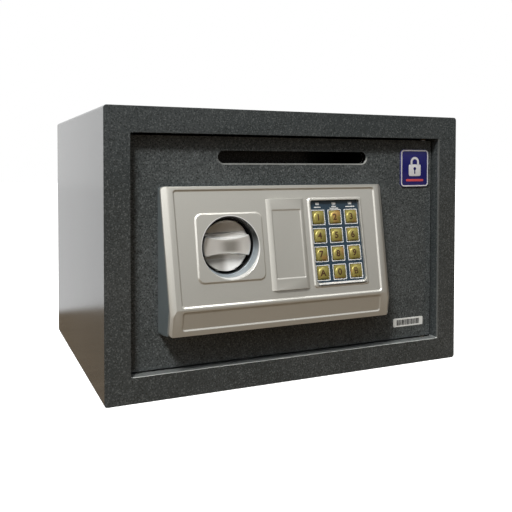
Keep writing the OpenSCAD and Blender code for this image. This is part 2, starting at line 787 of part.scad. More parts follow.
// Toothed plate that hangs behind the drop gap and keeps hooks from drawing a deposit back out
module anti_fishing_comb() {
    count = floor(2 * chute_half / tooth_w);
    span = count * tooth_w;
    plate_h = chute_z1 - chute_z0 + chute_fall + comb_drop;
    teeth = [for (i = [0 : 2 * count]) [i * tooth_w / 2, -plate_h - (i % 2) * tooth_l]];
    color([0.25, 0.26, 0.26]) standing(door_back + chute_l - chute_t, chute_t)
        translate([-span / 2, chute_z1]) polygon(concat([[span, 0], [0, 0]], teeth));
}

// Plan of the panel, narrower towards the front, with its sides moved in by an inset
module panel_plan(inset) {
    reach = 2 * panel_reach;
    near = panel_taper * reach;
    translate([0, 0, panel_z0 - over]) linear_extrude(panel_h + 2 * over) polygon([
        [panel_x0 + inset, depth_y(door_recess)], [panel_x1 - inset, depth_y(door_recess)],
        [panel_x1 - inset - near, depth_y(door_recess - reach)],
        [panel_x0 + inset + near, depth_y(door_recess - reach)]]);
}

// Places of the four screws that hold the panel, from behind the door, and the radius of their
// bosses
boss_r = screw_d;
function panel_screw_places() = [for (x = [panel_x0 + panel_screw_side, panel_x1 - panel_screw_side],
                                      z = [panel_z0 + panel_screw_end, panel_z1 - panel_screw_end])
    [x, z]];

// Waste outside a round corner of the panel, along that corner's own edge: s is the side, up is
// 1 for a top corner and -1 for a bottom one
module corner_waste(s, z, up) {
    translate([panel_x + s * panel_w / 2, depth_y(door_recess), z])
        rotate([0, 0, -s * atan(panel_taper)]) rotate([90, 0, 0])
            translate([0, 0, -over]) linear_extrude(2 * panel_reach) difference() {
                translate([s < 0 ? -over : -corner_r, up < 0 ? -over : -corner_r])
                    square(corner_r + over);
                translate([-s * corner_r, -up * corner_r]) circle(r = corner_r);
            }
}

// Waste outside a sloping edge, drawn in the frame of the face or the chin: the edge starts at
// half width x0 at the ridge and ends at half width x1, a length away
module edge_waste(s, x0, x1, length, w, deep) {
    translate([panel_x + s * (x0 + x1) / 2, length / 2, 0])
        rotate([0, 0, -s * atan((x1 - x0) / length)]) rotate([90, 0, 0])
            linear_extrude(abs(length) + 2 * edge_past, center = true) polygon([
                [-1.5 * s * w, deep / 2], [s * w / 2, -1.5 * deep], [s * w / 2, deep / 2]]);
}

// Middles of the round corners of an outline about the panel's middle, whose sides run straight
// from half width x0 at height v0 to half width x1 at height v1
function leaning_corners(x0, x1, v0, v1, r) =
    let (lean = atan((x1 - x0) / (v1 - v0)),
         low = x0 + r * tan(lean) - r / cos(lean),
         high = x1 - r * tan(lean) - r / cos(lean))
    [[panel_x - low, v0 + r], [panel_x + low, v0 + r],
     [panel_x + high, v1 - r], [panel_x - high, v1 - r]];

// Middles of the round corners of a rectangle about (x, v)
function box_corners(x, v, w, h, r) =
    [for (p = [[-1, -1], [1, -1], [1, 1], [-1, 1]]) [x + p[0] * (w / 2 - r), v + p[1] * (h / 2 - r)]];

// Solid round four corner middles, with corner radius r0 at height z0 and r1 at height z1
module sloped_solid(corners, r0, r1, z0, z1) {
    translate([0, 0, z0]) linear_extrude(z1 - z0) polygon(corners);
    for (i = [0 : 3]) {
        side = corners[(i + 1) % 4] - corners[i];
        translate([corners[i][0], corners[i][1], z0]) {
            cylinder(h = z1 - z0, r1 = r0, r2 = r1);
            rotate([0, 0, atan2(side[1], side[0])]) rotate([90, 0, 90])
                linear_extrude(norm(side))
                    polygon([[r0, 0], [seam - r0, 0], [seam - r1, z1 - z0], [r0, z1 - z0]]);
        }
    }
}

// Waste of a shape sunk into a face, with sloping borders: r is the corner radius halfway down
module sunk_waste(corners, r, sink) {
    r0 = r - slope_w / 2;
    sloped_solid(corners, r0, r0 + slope_w * (sink + lip) / sink, -sink, lip);
}

// Shape that stays raised in a sunk field, with sloping borders
module raised_solid(corners, r, sink) {
    r0 = r + slope_w / 2;
    sloped_solid(corners, r0, r0 - slope_w * (sink + lip) / sink, -sink, lip);
}

// Section of the dark base, up to the silver front's rear edge
module base_section() {
    side_profile(panel_x0, panel_x1, [
        [door_recess, panel_z0], [door_recess, panel_z1],
        [face_d(panel_z1) + front_deep, panel_z1], [face_d(ridge_z) + front_deep, ridge_z],
        [chin_d(chin_z) + front_deep, chin_z]]);
}

// Dark wedge-shaped base between the silver front and the door
module panel_base() {
    far = -2 * panel_reach;
    color([0.27, 0.30, 0.31]) difference() {
        union() {
            difference() {
                intersection() {
                    base_section();
                    panel_plan(0);
                }
                intersection() {
                    side_profile(panel_x0, panel_x1, [
                        [door_recess, panel_z0 + panel_wall], [door_recess, panel_z1 - panel_wall],
                        [far, panel_z1 - panel_wall], [far, chin_z + panel_wall],
                        [chin_d(chin_z), chin_z + panel_wall]]);
                    panel_plan(panel_wall);
                }
            }
            intersection() {
                for (p = panel_screw_places()) {
                    rod_y(p[0], p[1], face_d(ridge_z), door_recess, 2 * boss_r);
                    block(p[0] < panel_x ? panel_x0 : p[0], p[0] < panel_x ? p[0] : panel_x1,
                          face_d(ridge_z), door_recess,
                          p[1] - panel_wall / 2, p[1] + panel_wall / 2);
                }
                base_section();
                panel_plan(0);
            }
        }
        for (p = panel_screw_places())
            rod_y(p[0], p[1], door_recess - screw_bite - hole_spare, door_recess + over, screw_d);
        for (s = [-1, 1]) {
            corner_waste(s, panel_z1, 1);
            corner_waste(s, panel_z0, -1);
        }
    }
}

// Openings in the leaning face
module window_outline() {
    translate([pad_cx, window_v]) round_rect(window_w, window_h, field_r);
}
module hatch_outline(play) {
    translate([cover_cx, cover_v])
        round_rect(hatch_w - 2 * play, hatch_h - 2 * play, field_r);
}

// Outline of the silver front's section, with its wall taken off where asked
module front_block(wall, edge) {
    z1 = panel_z1 - edge;
    z0 = chin_z + edge;
    back = front_deep + (wall > 0 ? over : 0);
    intersection() {
        side_profile(panel_x0, panel_x1, [
            [face_d(z1) + wall, z1], [face_d(ridge_z) + wall, ridge_z], [chin_d(z0) + wall, z0],
            [chin_d(z0) + back, z0], [face_d(ridge_z) + back, ridge_z], [face_d(z1) + back, z1]]);
        panel_plan(edge);
    }
}

// Places of the posts behind the silver front that carry the circuit board
function board_post_places() = [for (sx = [-1, 1], sy = [-1, 1])
    [pad_cx + sx * post_x, window_v + sy * (board_h / 2 - post_in)]];

// Silver front: leaning face with its sunk field, the chin, the knob's pocket and the keypad rim
module panel_front() {
    color([0.68, 0.67, 0.64]) difference() {
        union() {
            difference() {
                front_block(0, 0);
                front_block(front_wall, panel_wall);
                on_face() difference() {
                    sunk_waste(leaning_corners(face_half(field_v0) - rim_side,
                                               face_half(field_v1) - rim_side,
                                               field_v0, field_v1, field_r), field_r, field_sink);
                    raised_solid(box_corners(knob_x, knob_v, knob_plate_w, knob_plate_h, knob_plate_r),
                                 knob_plate_r, field_sink);
                    raised_solid(box_corners(pad_cx, pad_v, pad_w, pad_h, field_r),
                                 field_r, field_sink);
                }
                on_chin() sunk_waste(leaning_corners(chin_half(-strip_drop - strip_h) - strip_side,
                                                     chin_half(-strip_drop) - strip_side,
                                                     -strip_drop - strip_h, -strip_drop, field_r),
                                     field_r, strip_sink);
                on_face() translate([0, 0, -2 * front_deep]) linear_extrude(3 * front_deep) {
                    window_outline();
                    hatch_outline(0);
                }
                on_face() window_foot();
            }
            pocket_body();
            on_face() for (p = board_post_places())
                translate([p[0], p[1], board_n])
                    cylinder(h = overlay_n + post_root - board_n, d = board_post_d);
        }
        pocket_waste();
        rod_y(knob_x, knob_z, 0, door_recess + over, spindle_bush_d);
        on_face() for (p = board_post_places())
            translate([p[0], p[1], board_n - over])
                cylinder(h = over + board_bite + hole_spare, d = board_screw_d);
        for (s = [-1, 1]) {
            corner_waste(s, panel_z1, 1);
            corner_waste(s, chin_z, -1);
            on_face() edge_waste(s, half_width(face_d(ridge_z)), half_width(face_d(panel_z1)),
                                 face_len, edge_w, edge_deep);
            on_chin() edge_waste(s, half_width(face_d(ridge_z)), half_width(chin_d(chin_z)),
                                 -chin_len, chin_edge_w, chin_edge_deep);
        }
    }
}

// Slope below the window, from the raised rim down to the printed plate
module window_foot() {
    foot_v = window_v - window_h / 2;
    translate([pad_cx - window_w / 2 + field_r, 0, 0]) rotate([90, 0, 90])
        linear_extrude(window_w - 2 * field_r) polygon([
            [foot_v, overlay_n], [foot_v + field_r, overlay_n], [foot_v + field_r, lip],
            [foot_v - pad_foot_slope, lip], [foot_v - pad_foot_slope, 0]]);
}

// Dish round the knob, wider towards the front, and the bore behind its floor
module pocket_waste() {
    front_d = -2 * panel_reach;
    function dish_r(d) = pocket_d / 2 + pocket_slope * (face_d(knob_z) - d);
    translate([knob_x, depth_y(pocket_floor_d), knob_z]) rotate([90, 0, 0])
        cylinder(h = pocket_floor_d - front_d, r1 = dish_r(pocket_floor_d), r2 = dish_r(front_d));
    rod_y(knob_x, knob_z, pocket_floor_d - over, pocket_back - pocket_wall, pocket_bore_d);
}

// Wall and floor round the knob's pocket, cut off along the leaning face
module pocket_body() {
    intersection() {
        rod_y(knob_x, knob_z, -2 * panel_reach, pocket_back, pocket_d + 2 * pocket_wall);
        side_profile(panel_x0, panel_x1, [
            [face_d(panel_z1), panel_z1], [face_d(ridge_z), ridge_z],
            [door_recess, ridge_z], [door_recess, panel_z1]]);
    }
}

// Screws through the door plate into the panel's bosses
module panel_screws() {
    color([0.72, 0.73, 0.74]) for (p = panel_screw_places())
        screw(p[0], p[1], door_back, door_t + screw_bite);
}

// Badge at the top right of the door
module badge() {
    color([0.16, 0.18, 0.50])
        translate([door_x1 - badge_right, 0, door_z1 - badge_down]) standing(door_recess - badge_t, badge_t)
            round_rect(badge_w, badge_h, badge_r);
}

// Plain printed strip at the bottom right of the door
module serial_label() {
    color([0.93, 0.93, 0.92])
        translate([door_x1 - strip_label_right, 0, door_z0 + strip_label_up])
            standing(door_recess - strip_label_t, strip_label_t)
                round_rect(strip_label_w, strip_label_h, small_r);
}

// Flanged nylon bush that carries the knob's spindle in the door plate
module knob_bush() {
    color([0.85, 0.84, 0.80]) difference() {
        rod_y(knob_x, knob_z, pocket_back - pocket_wall, door_back, spindle_bush_d);
        rod_y(knob_x, knob_z, 0, door_back + over, spindle_d + 2 * run_fit);
    }
}

// Turned knob: a disc with two finger scoops that leave a waisted grip bar
module knob() {
    back = knob_d0 + knob_t;
    color([0.72, 0.72, 0.71]) difference() {
        union() {
            rod_y(knob_x, knob_z, knob_d0 + knob_edge, back, knob_d);
            translate([knob_x, depth_y(knob_d0 + knob_edge), knob_z]) rotate([90, 0, 0])
                cylinder(h = knob_edge, d1 = knob_d, d2 = knob_d - 2 * knob_edge);
        }
        rod_y(knob_x, knob_z, back - spindle_held, back + over, spindle_d);
        for (s = [-1, 1]) intersection() {
            rod_y(knob_x, knob_z + s * (grip_waist / 2 + grip_side_r),
                  knob_d0 - over, back, 2 * grip_side_r);
            translate([knob_x, depth_y(knob_d0 + scoop_deep - scoop_r),
                       knob_z + s * (grip_waist / 2 + scoop_off)])
                rotate([0, 90, 0]) cylinder(h = knob_d + 2 * over, r = scoop_r, center = true);
        }
    }
}

// Spindle from the knob through the door to the crank
module knob_spindle() {
    color([0.70, 0.71, 0.72])
        rod_y(knob_x, knob_z, knob_d0 + knob_t - spindle_held, crank_d0 + crank_t, spindle_d);
}

// Place of the crank pin beside the knob's axis, at rest
pin_x = knob_x + pin_dx;
pin_z = knob_z + crank_r * sin(crank_start);

// Crank on the spindle's end
module drive_crank() {
    color([0.62, 0.63, 0.64]) difference() {
        standing(crank_d0, crank_t) {
            translate([knob_x, knob_z]) circle(r = spindle_d + end_past);
            translate([knob_x, knob_z]) rotate(crank_start) translate([0, -crank_pin_d])
                square([crank_r, 2 * crank_pin_d]);
            translate([pin_x, pin_z]) circle(r = crank_pin_d);
        }
        rod_y(knob_x, knob_z, crank_d0 - over, crank_d0 + crank_t + over, spindle_d);
        rod_y(pin_x, pin_z, crank_d0 - over, crank_d0 + crank_t + over, crank_pin_d);
    }
}

// Pin that pushes the sliding carriage
module crank_pin() {
    color([0.70, 0.71, 0.72]) rod_y(pin_x, pin_z, crank_d0, slider_d1 + end_past, crank_pin_d);
}

// Pull-off cover over the emergency lock, with sloping sides and a skirt in the hatch
module override_cover() {
    half = cover_w / 2;
    top = cover_t - field_sink;
    color([0.68, 0.67, 0.64]) on_face() translate([cover_cx, cover_v, 0]) {
        difference() {
            rotate([90, 0, 0]) linear_extrude(cover_h, center = true) polygon([
                [-half, -field_sink], [half, -field_sink],
                [half - cover_bevel, top], [cover_bevel - half, top]]);
            translate([0, 0, top])
                sunk_waste(box_corners(0, 0, cover_sunk_w - slope_w, cover_sunk_h, small_r),
                           small_r, cover_sunk);
        }
        translate([0, 0, -field_sink - cover_skirt]) linear_extrude(cover_skirt) difference() {
            round_rect(hatch_w - 2 * cover_fit, hatch_h - 2 * cover_fit, field_r);
            round_rect(hatch_w - 2 * cover_fit - 2 * skirt_wall,
                       hatch_h - 2 * cover_fit - 2 * skirt_wall, field_r);
        }
    }
}

// Barrel of the emergency lock, seated on the door by its shoulder
module override_barrel() {
    color([0.70, 0.71, 0.72]) difference() {
        union() {
            rod_y(cover_cx, barrel_z, barrel_d0, barrel_d1, barrel_d);
            rod_y(cover_cx, barrel_z, door_recess - barrel_shoulder_t, door_recess,
                  barrel_shoulder_d);
        }
        rod_y(cover_cx, barrel_z, barrel_d0 - over, barrel_d1 + over, plug_d + 2 * run_fit);
    }
}

// Hexagonal nut that clamps the barrel to the door
module override_nut() {
    color([0.62, 0.63, 0.64]) difference() {
        standing(door_back, barrel_nut_t) translate([cover_cx, barrel_z])
            circle(d = barrel_nut_af / cos(30), $fn = 6);
        rod_y(cover_cx, barrel_z, door_back - over, door_back + barrel_nut_t + over, barrel_d);
    }
}

// Turning plug with the round key's groove in its face, and a stub for the lever
module override_plug() {
    color([0.74, 0.66, 0.42]) difference() {
        union() {
            rod_y(cover_cx, barrel_z, barrel_d0, lever_d0, plug_d);
            rod_y(cover_cx, barrel_z, lever_d0, lever_d0 + lever_t, plug_d / 2);
        }
        difference() {
            rod_y(cover_cx, barrel_z, barrel_d0 - over, barrel_d0 + key_groove_deep, key_groove_d);
            rod_y(cover_cx, barrel_z, barrel_d0 - over, barrel_d0 + key_groove_deep,
                  key_groove_d - 2 * key_groove_w);
        }
        block(cover_cx - key_notch_w / 2, cover_cx + key_notch_w / 2, barrel_d0 - over,
              barrel_d0 + key_groove_deep, barrel_z, barrel_z + key_notch_l);
    }
}

// Lever on the plug's rear end, which lifts the solenoid's plunger when the key turns
module override_lever() {
    color([0.62, 0.63, 0.64]) difference() {
        standing(lever_d0, lever_t) translate([cover_cx, barrel_z]) intersection() {
            union() {
                circle(d = plug_d);
                translate([0, -lever_w / 2]) square([lever_len + over, lever_w]);
            }
            circle(r = lever_len);
        }
        rod_y(cover_cx, barrel_z, lever_d0 - over, lever_d0 + lever_t + over, plug_d / 2);
    }
}

// Place of a key's middle on the face, from its column and its row, counted from the bottom
function key_x(column) = pad_cx + (column - 1) * key_pitch_x;
function key_v(row) = key_v0 + row * key_pitch_v;

// Printed plate behind the keypad window, with a square hole for each key
module keypad_plate() {
    color([0.20, 0.25, 0.32]) on_face() translate([0, 0, overlay_n - overlay_t])
        linear_extrude(overlay_t) difference() {
            translate([pad_cx, window_v])
                square([window_w + 2 * plate_lap, window_h + 2 * plate_lap], center = true);
            for (column = [0 : 2], row = [0 : 3])
                translate([key_x(column), key_v(row)])
                    round_rect(key_w + 2 * key_gap, key_w + 2 * key_gap, key_r);
            for (column = [0 : 2])
                translate([key_x(column), lamp_v])
                    square([lamp_w + 2 * lamp_play, lamp_h + 2 * lamp_play], center = true);
        }
}

// One key: a crowned cap, the collar that keeps it in, and a stem over its switch
module key_at(column, row) {
    top = overlay_n + key_high;
    collar_n = overlay_n - overlay_t - collar_play;
    collar_w = key_w + 2 * key_gap + 2 * key_collar;
    color([0.68, 0.60, 0.26]) on_face() translate([key_x(column), key_v(row), 0]) {
        intersection() {
            translate([0, 0, collar_n]) linear_extrude(top - collar_n) round_rect(key_w, key_w, key_r);
            translate([0, 0, top - key_crown_r]) sphere(r = key_crown_r);
        }
        translate([0, 0, collar_n - key_collar_t]) linear_extrude(key_collar_t)
            round_rect(collar_w, collar_w, key_r);
        translate([0, 0, board_n + key_travel + key_stop])
            cylinder(h = collar_n - board_n - key_travel - key_stop, d = key_w / 2);
    }
}

// Circuit board behind the keys, on the silver front's posts
module circuit_board() {
    color([0.10, 0.32, 0.18]) on_face() translate([0, 0, board_n - board_t]) difference() {
        translate([pad_cx, window_v, 0]) linear_extrude(board_t)
            square([board_w, board_h], center = true);
        for (p = board_post_places())
            translate([p[0], p[1], -over]) cylinder(h = board_t + 2 * over, d = board_screw_d);
    }
}

// Small screws that hold the board on its posts
module board_screws() {
    color([0.72, 0.73, 0.74]) on_face() for (p = board_post_places())
        translate([p[0], p[1], board_n - board_t]) {
            cylinder(h = board_t + board_bite, d = board_screw_d);
            translate([0, 0, -board_head_t]) cylinder(h = board_head_t, d = 2 * board_screw_d);
        }
}

// Three lamps on the board whose lenses show above the top row of keys
module status_lamps() {
    color([0.88, 0.90, 0.92]) on_face() for (column = [0 : 2])
        translate([key_x(column) - lamp_w / 2, lamp_v - lamp_h / 2, board_n])
            cube([lamp_w, lamp_h, overlay_n + lens_proud - board_n]);
}

// Sliding carriage: a plate with a flange for the bolts and an arm for the plunger
module bolt_carriage() {
    tab_edge = 1.6;
    tab_side = 8;
    flange_edge = 2;
    arm_x1 = plunger_x + bolt_throw + tab_side;
    color([0.66, 0.67, 0.66]) difference() {
        union() {
            block(slider_x0, slider_x1, slider_d0, slider_d1, slider_z0, slider_z1);
            block(slider_x0, slider_x0 + slider_t, slider_d0, bolt_axis_d + bolt_d / 2 + flange_edge,
                  slider_z0, slider_z1);
            block(slider_x1, arm_x1, slider_d0, slider_d1, arm_z0, arm_z1);
            block(plunger_x - tab_side, arm_x1, slider_d0, plunger_axis_d + plunger_d / 2 + tab_edge,
                  arm_z1 - slider_t, arm_z1);
        }
        for (s = [-1, 1]) {
            translate([slider_x0 - over, depth_y(bolt_axis_d), knob_z + s * bolt_off])
                rotate([0, 90, 0]) cylinder(h = slider_t + 2 * over, d = bolt_stub_d);
            translate([stud_x + bolt_throw / 2, 0, knob_z + s * stud_off])
                standing(slider_d0 - over, slider_t + 2 * over)
                    stadium(bolt_throw + stud_d + 2 * run_fit, stud_d + 2 * run_fit);
        }
        translate([pin_x, 0, (pin_z + knob_z + crank_r) / 2])
            standing(slider_d0 - over, slider_t + 2 * over) rotate(90)
                stadium(knob_z + crank_r - pin_z + crank_pin_d + 2 * crank_play,
                        crank_pin_d + 2 * crank_play);
        for (shift = [0, bolt_throw])
            translate([plunger_x + shift, depth_y(plunger_axis_d), arm_z1 - slider_t - over])
                cylinder(h = slider_t + 2 * over, d = plunger_d + 2 * detent_play);
    }
}

// Two round bolts with a threaded stub through the carriage's flange
module locking_bolts() {
    color([0.74, 0.75, 0.76]) for (s = [-1, 1])
        translate([bolt_tip_x, depth_y(bolt_axis_d), knob_z + s * bolt_off]) rotate([0, 90, 0]) {
            cylinder(h = slider_x0 - bolt_tip_x, d = bolt_d);
            cylinder(h = slider_x0 - bolt_tip_x + slider_t + bolt_nut_t + end_past, d = bolt_stub_d);
        }
}

// Nuts on the bolts' stubs
module bolt_nuts() {
    color([0.66, 0.67, 0.66]) for (s = [-1, 1])
        translate([slider_x0 + slider_t, depth_y(bolt_axis_d), knob_z + s * bolt_off])
            rotate([0, 90, 0]) difference() {
                cylinder(h = bolt_nut_t, d = bolt_nut_af / cos(30), $fn = 6);
                translate([0, 0, -over]) cylinder(h = bolt_nut_t + 2 * over, d = bolt_stub_d);
            }
}

// Upright bracket on the door that guides the bolts beside the door's edge
module bolt_bracket() {
    foot = 8;
    foot_t = 1.6;
    edge = 2;
    color([0.25, 0.26, 0.26]) difference() {
        union() {
            block(bracket_x - slider_t, bracket_x, door_back, bolt_axis_d + bolt_d / 2 + edge,
                  slider_z0 - edge, slider_z1 + edge);
            block(bracket_x - slider_t, bracket_x + foot - slider_t, door_back, door_back + foot_t,
                  slider_z0 - edge, slider_z1 + edge);
        }
        for (s = [-1, 1])
            translate([bracket_x - slider_t - over, depth_y(bolt_axis_d), knob_z + s * bolt_off])
                rotate([0, 90, 0]) cylinder(h = slider_t + 2 * over, d = bolt_d + 2 * run_fit);
    }
}

// Shouldered studs on the door that carry the sliding carriage
module guide_studs() {
    color([0.70, 0.71, 0.72]) for (s = [-1, 1]) {
        rod_y(stud_x, knob_z + s * stud_off, door_back, slider_d0 - slide_play, 2 * stud_d);
        rod_y(stud_x, knob_z + s * stud_off, door_back, washer_d1 + slider_t / 2, stud_d);
    }
}

// Snap washers that keep the carriage on its studs
module stud_washers() {
    color([0.62, 0.63, 0.64]) for (s = [-1, 1]) difference() {
        rod_y(stud_x, knob_z + s * stud_off, slider_d1 + slide_play, washer_d1, 2 * stud_d);
        rod_y(stud_x, knob_z + s * stud_off, slider_d1, washer_d1 + over, stud_d);
    }
}

// Bent yoke that holds the coil on the door
module solenoid_yoke() {
    d1 = plunger_axis_d + coil_d / 2 + end_past;
    x0 = plunger_x - yoke_w / 2;
    x1 = plunger_x + yoke_w / 2;
    color([0.66, 0.67, 0.66]) difference() {
        union() {
            block(x0, x1, door_back, door_back + yoke_t, yoke_z0, yoke_z1);
            block(x0, x1, door_back, d1, yoke_z0, yoke_z0 + yoke_t);
            block(x0, x1, door_back, d1, yoke_z1 - yoke_t, yoke_z1);
        }
        translate([plunger_x, depth_y(plunger_axis_d), yoke_z0 - over])
            cylinder(h = yoke_z1 - yoke_z0 + 2 * over, d = plunger_d + 2 * detent_play);
    }
}

// Wound coil on its bobbin
module solenoid_coil() {
    rim_t = 1.2;
    rim_high = 1.5;
    color([0.60, 0.30, 0.14]) translate([plunger_x, depth_y(plunger_axis_d), yoke_z0 + yoke_t])
        difference() {
            union() {
                cylinder(h = coil_l, d = coil_d - 2 * rim_high);
                cylinder(h = rim_t, d = coil_d);
                translate([0, 0, coil_l - rim_t]) cylinder(h = rim_t, d = coil_d);
            }
            translate([0, 0, -over]) cylinder(h = coil_l + 2 * over, d = plunger_d + 2 * run_fit);
        }
}

// Plunger that drops into the carriage's arm, with the collar that the lever lifts
module solenoid_plunger() {
    color([0.72, 0.73, 0.74]) translate([plunger_x, depth_y(plunger_axis_d), 0]) {
        translate([0, 0, plunger_tip]) cylinder(h = yoke_z1 - plunger_tip, d = plunger_d);
        translate([0, 0, collar_z]) cylinder(h = plunger_collar_t, d = plunger_collar_d);
    }
}

// Spring between the yoke and the plunger's collar
module plunger_spring() {
    play = 1;
    wire = 1;
    color([0.60, 0.61, 0.62])
        translate([plunger_x, depth_y(plunger_axis_d), collar_z + plunger_collar_t]) difference() {
            cylinder(h = plunger_spring_l, d = plunger_d + 2 * (play + wire));
            translate([0, 0, -over])
                cylinder(h = plunger_spring_l + 2 * over, d = plunger_d + 2 * play);
        }
}

// Places of the screws in the rear case's ears
function case_screw_places() = [for (x = [case_x0 + case_ear_in, case_x1 - case_ear_in],
                                     z = [case_z0 - case_ear / 2, case_z1 + case_ear / 2]) [x, z]];

// Sheet case over the bolt work, open towards the door
module rear_case() {
    bolt_hole_play = 1;
    color([0.25, 0.26, 0.26]) difference() {
        union() {
            block(case_x0, case_x1, door_back, case_back, case_z0, case_z1);
            for (p = case_screw_places())
                block(p[0] - case_ear, p[0] + case_ear, door_back, door_back + case_t,
                      p[1] < case_z0 ? p[1] - case_ear / 2 : case_z1 - case_t,
                      p[1] < case_z0 ? case_z0 + case_t : p[1] + case_ear / 2);
            lid_ears();
        }
        block(case_x0 + case_t, case_x1 - case_t, door_back - over, case_back - case_t,
              case_z0 + case_t, case_z1 - case_t);
        for (p = case_screw_places())
            rod_y(p[0], p[1], door_back - over, door_back + case_t + over, screw_d);
        for (s = [-1, 1])
            translate([case_x0 - over, depth_y(bolt_axis_d), knob_z + s * bolt_off])
                rotate([0, 90, 0]) cylinder(h = case_t + 2 * over, d = bolt_d + 2 * bolt_hole_play);
        block(tray_x0 + tray_wall, tray_x1 - tray_wall, case_back - 2 * case_t, case_back + over,
              tray_z0 + tray_wall, tray_z1 - tray_wall);
        rod_y(reset_x, reset_z, case_back - 2 * case_t, case_back + over, reset_d + 2 * run_fit);
        lid_axle(lid_pin_d + 2 * run_fit, 2 * over);
    }
}

// Axis of the battery lid, above its opening
ear_t = 2.4;
ear_wall = 1.2;
lid_gap = 0.2;
ear_gap = 0.3;
lid_axis_z = tray_z1 + lid_lap + lid_pin_d / 2 + ear_wall;
lid_axis_d = case_back + lid_pin_d / 2 + ear_wall;
lid_x0 = tray_x0 + tray_wall - lid_lap;
lid_x1 = tray_x1 - tray_wall + lid_lap;

// Bar along the lid's axis, which reaches into both ears
module lid_axle(dia, past) {
    bar_x0 = lid_x0 - ear_t - ear_gap;
    bar_x1 = lid_x1 + ear_t + ear_gap;
    translate([bar_x0 - past / 2, depth_y(lid_axis_d), lid_axis_z]) rotate([0, 90, 0])
        cylinder(h = bar_x1 - bar_x0 + past, d = dia);
}

// Ears on the case that carry the lid
module lid_ears() {
    r = lid_pin_d / 2 + ear_wall;
    for (x = [lid_x0 - ear_t - ear_gap, lid_x1 + ear_gap]) {
        translate([x, depth_y(lid_axis_d), lid_axis_z]) rotate([0, 90, 0]) cylinder(h = ear_t, r = r);
        block(x, x + ear_t, case_back - case_t, lid_axis_d, lid_axis_z - r, lid_axis_z + r);
    }
}

// Screws that hold the rear case to the door
module case_screws() {
    color([0.72, 0.73, 0.74]) for (p = case_screw_places())
        screw(p[0], p[1], door_back + case_t, case_t + screw_bite);
}

// Tray for four cells, open towards the rear
module battery_tray() {
    color([0.12, 0.12, 0.13]) difference() {
        block(tray_x0, tray_x1, case_back - case_t - tray_deep, case_back - case_t, tray_z0, tray_z1);
        block(tray_x0 + tray_wall, tray_x1 - tray_wall,
              case_back - case_t - tray_deep + tray_wall, case_back,
              tray_z0 + tray_wall, tray_z1 - tray_wall);
    }
}

// Four cells side by side, each with its terminal nub on top
module battery_cells() {
    nub_d = 5;
    nub_high = 1;
    color([0.20, 0.42, 0.30]) for (i = [0 : 3])
        translate([tray_x0 + tray_wall + cell_play + cell_d / 2 + i * (cell_d + cell_play),
                   depth_y(case_back - case_t - cell_play - cell_d / 2),
                   tray_z0 + tray_wall + cell_play]) {
            cylinder(h = cell_l, d = cell_d);
            cylinder(h = cell_l + nub_high, d = nub_d);
        }
}

// Battery lid that hangs from its axle at the top
module battery_lid() {
    lid_z0 = tray_z0 + tray_wall - lid_lap;
    lid_d0 = case_back + lid_gap;
    roll_r = lid_axis_d - lid_d0;
    color([0.14, 0.14, 0.15]) {
        block(lid_x0, lid_x1, lid_d0, lid_d0 + lid_t, lid_z0, lid_axis_z);
        lid_axle(lid_pin_d, 0);
        intersection() {
            lid_axle(2 * roll_r, 0);
            block(lid_x0, lid_x1, lid_d0, lid_d0 + 2 * roll_r, tray_z1, lid_axis_z + roll_r);
        }
    }
}

// Red button that clears the code, with a collar behind the case's sheet
module reset_button() {
    collar_w = 2;
    color([0.75, 0.10, 0.08]) {
        rod_y(reset_x, reset_z, reset_back - reset_collar_t, case_back + reset_proud, reset_d);
        rod_y(reset_x, reset_z, reset_back - reset_collar_t, reset_back, reset_d + 2 * collar_w);
    }
}

// Switch on the door that the button presses
module reset_switch() {
    half = 6;
    top = reset_back - reset_collar_t - reset_travel - reset_stop;
    color([0.12, 0.12, 0.13])
        block(reset_x - half, reset_x + half, door_back, top, reset_z - half, reset_z + half);
}

cabinet_wrap();
back_panel();
front_frame();
floor_mat();
hinge_blocks();
hinge_bushes();
door_plate();
hinge_pins();
deposit_chute();
anti_fishing_comb();
panel_base();
panel_front();
panel_screws();
badge();
serial_label();
knob_bush();
knob();
knob_spindle();
drive_crank();
crank_pin();
override_cover();
override_barrel();
override_nut();
override_plug();
override_lever();
keypad_plate();
circuit_board();
board_screws();
status_lamps();
for (row = [0 : 3], column = [0 : 2])
    key_at(column, row);
bolt_carriage();
locking_bolts();
bolt_nuts();
bolt_bracket();
guide_studs();
stud_washers();
solenoid_yoke();
solenoid_coil();
solenoid_plunger();
plunger_spring();
rear_case();
case_screws();
battery_tray();
battery_cells();
battery_lid();
reset_button();
reset_switch();
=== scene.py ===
import math

import bmesh
import bpy
from mathutils import Matrix, Vector


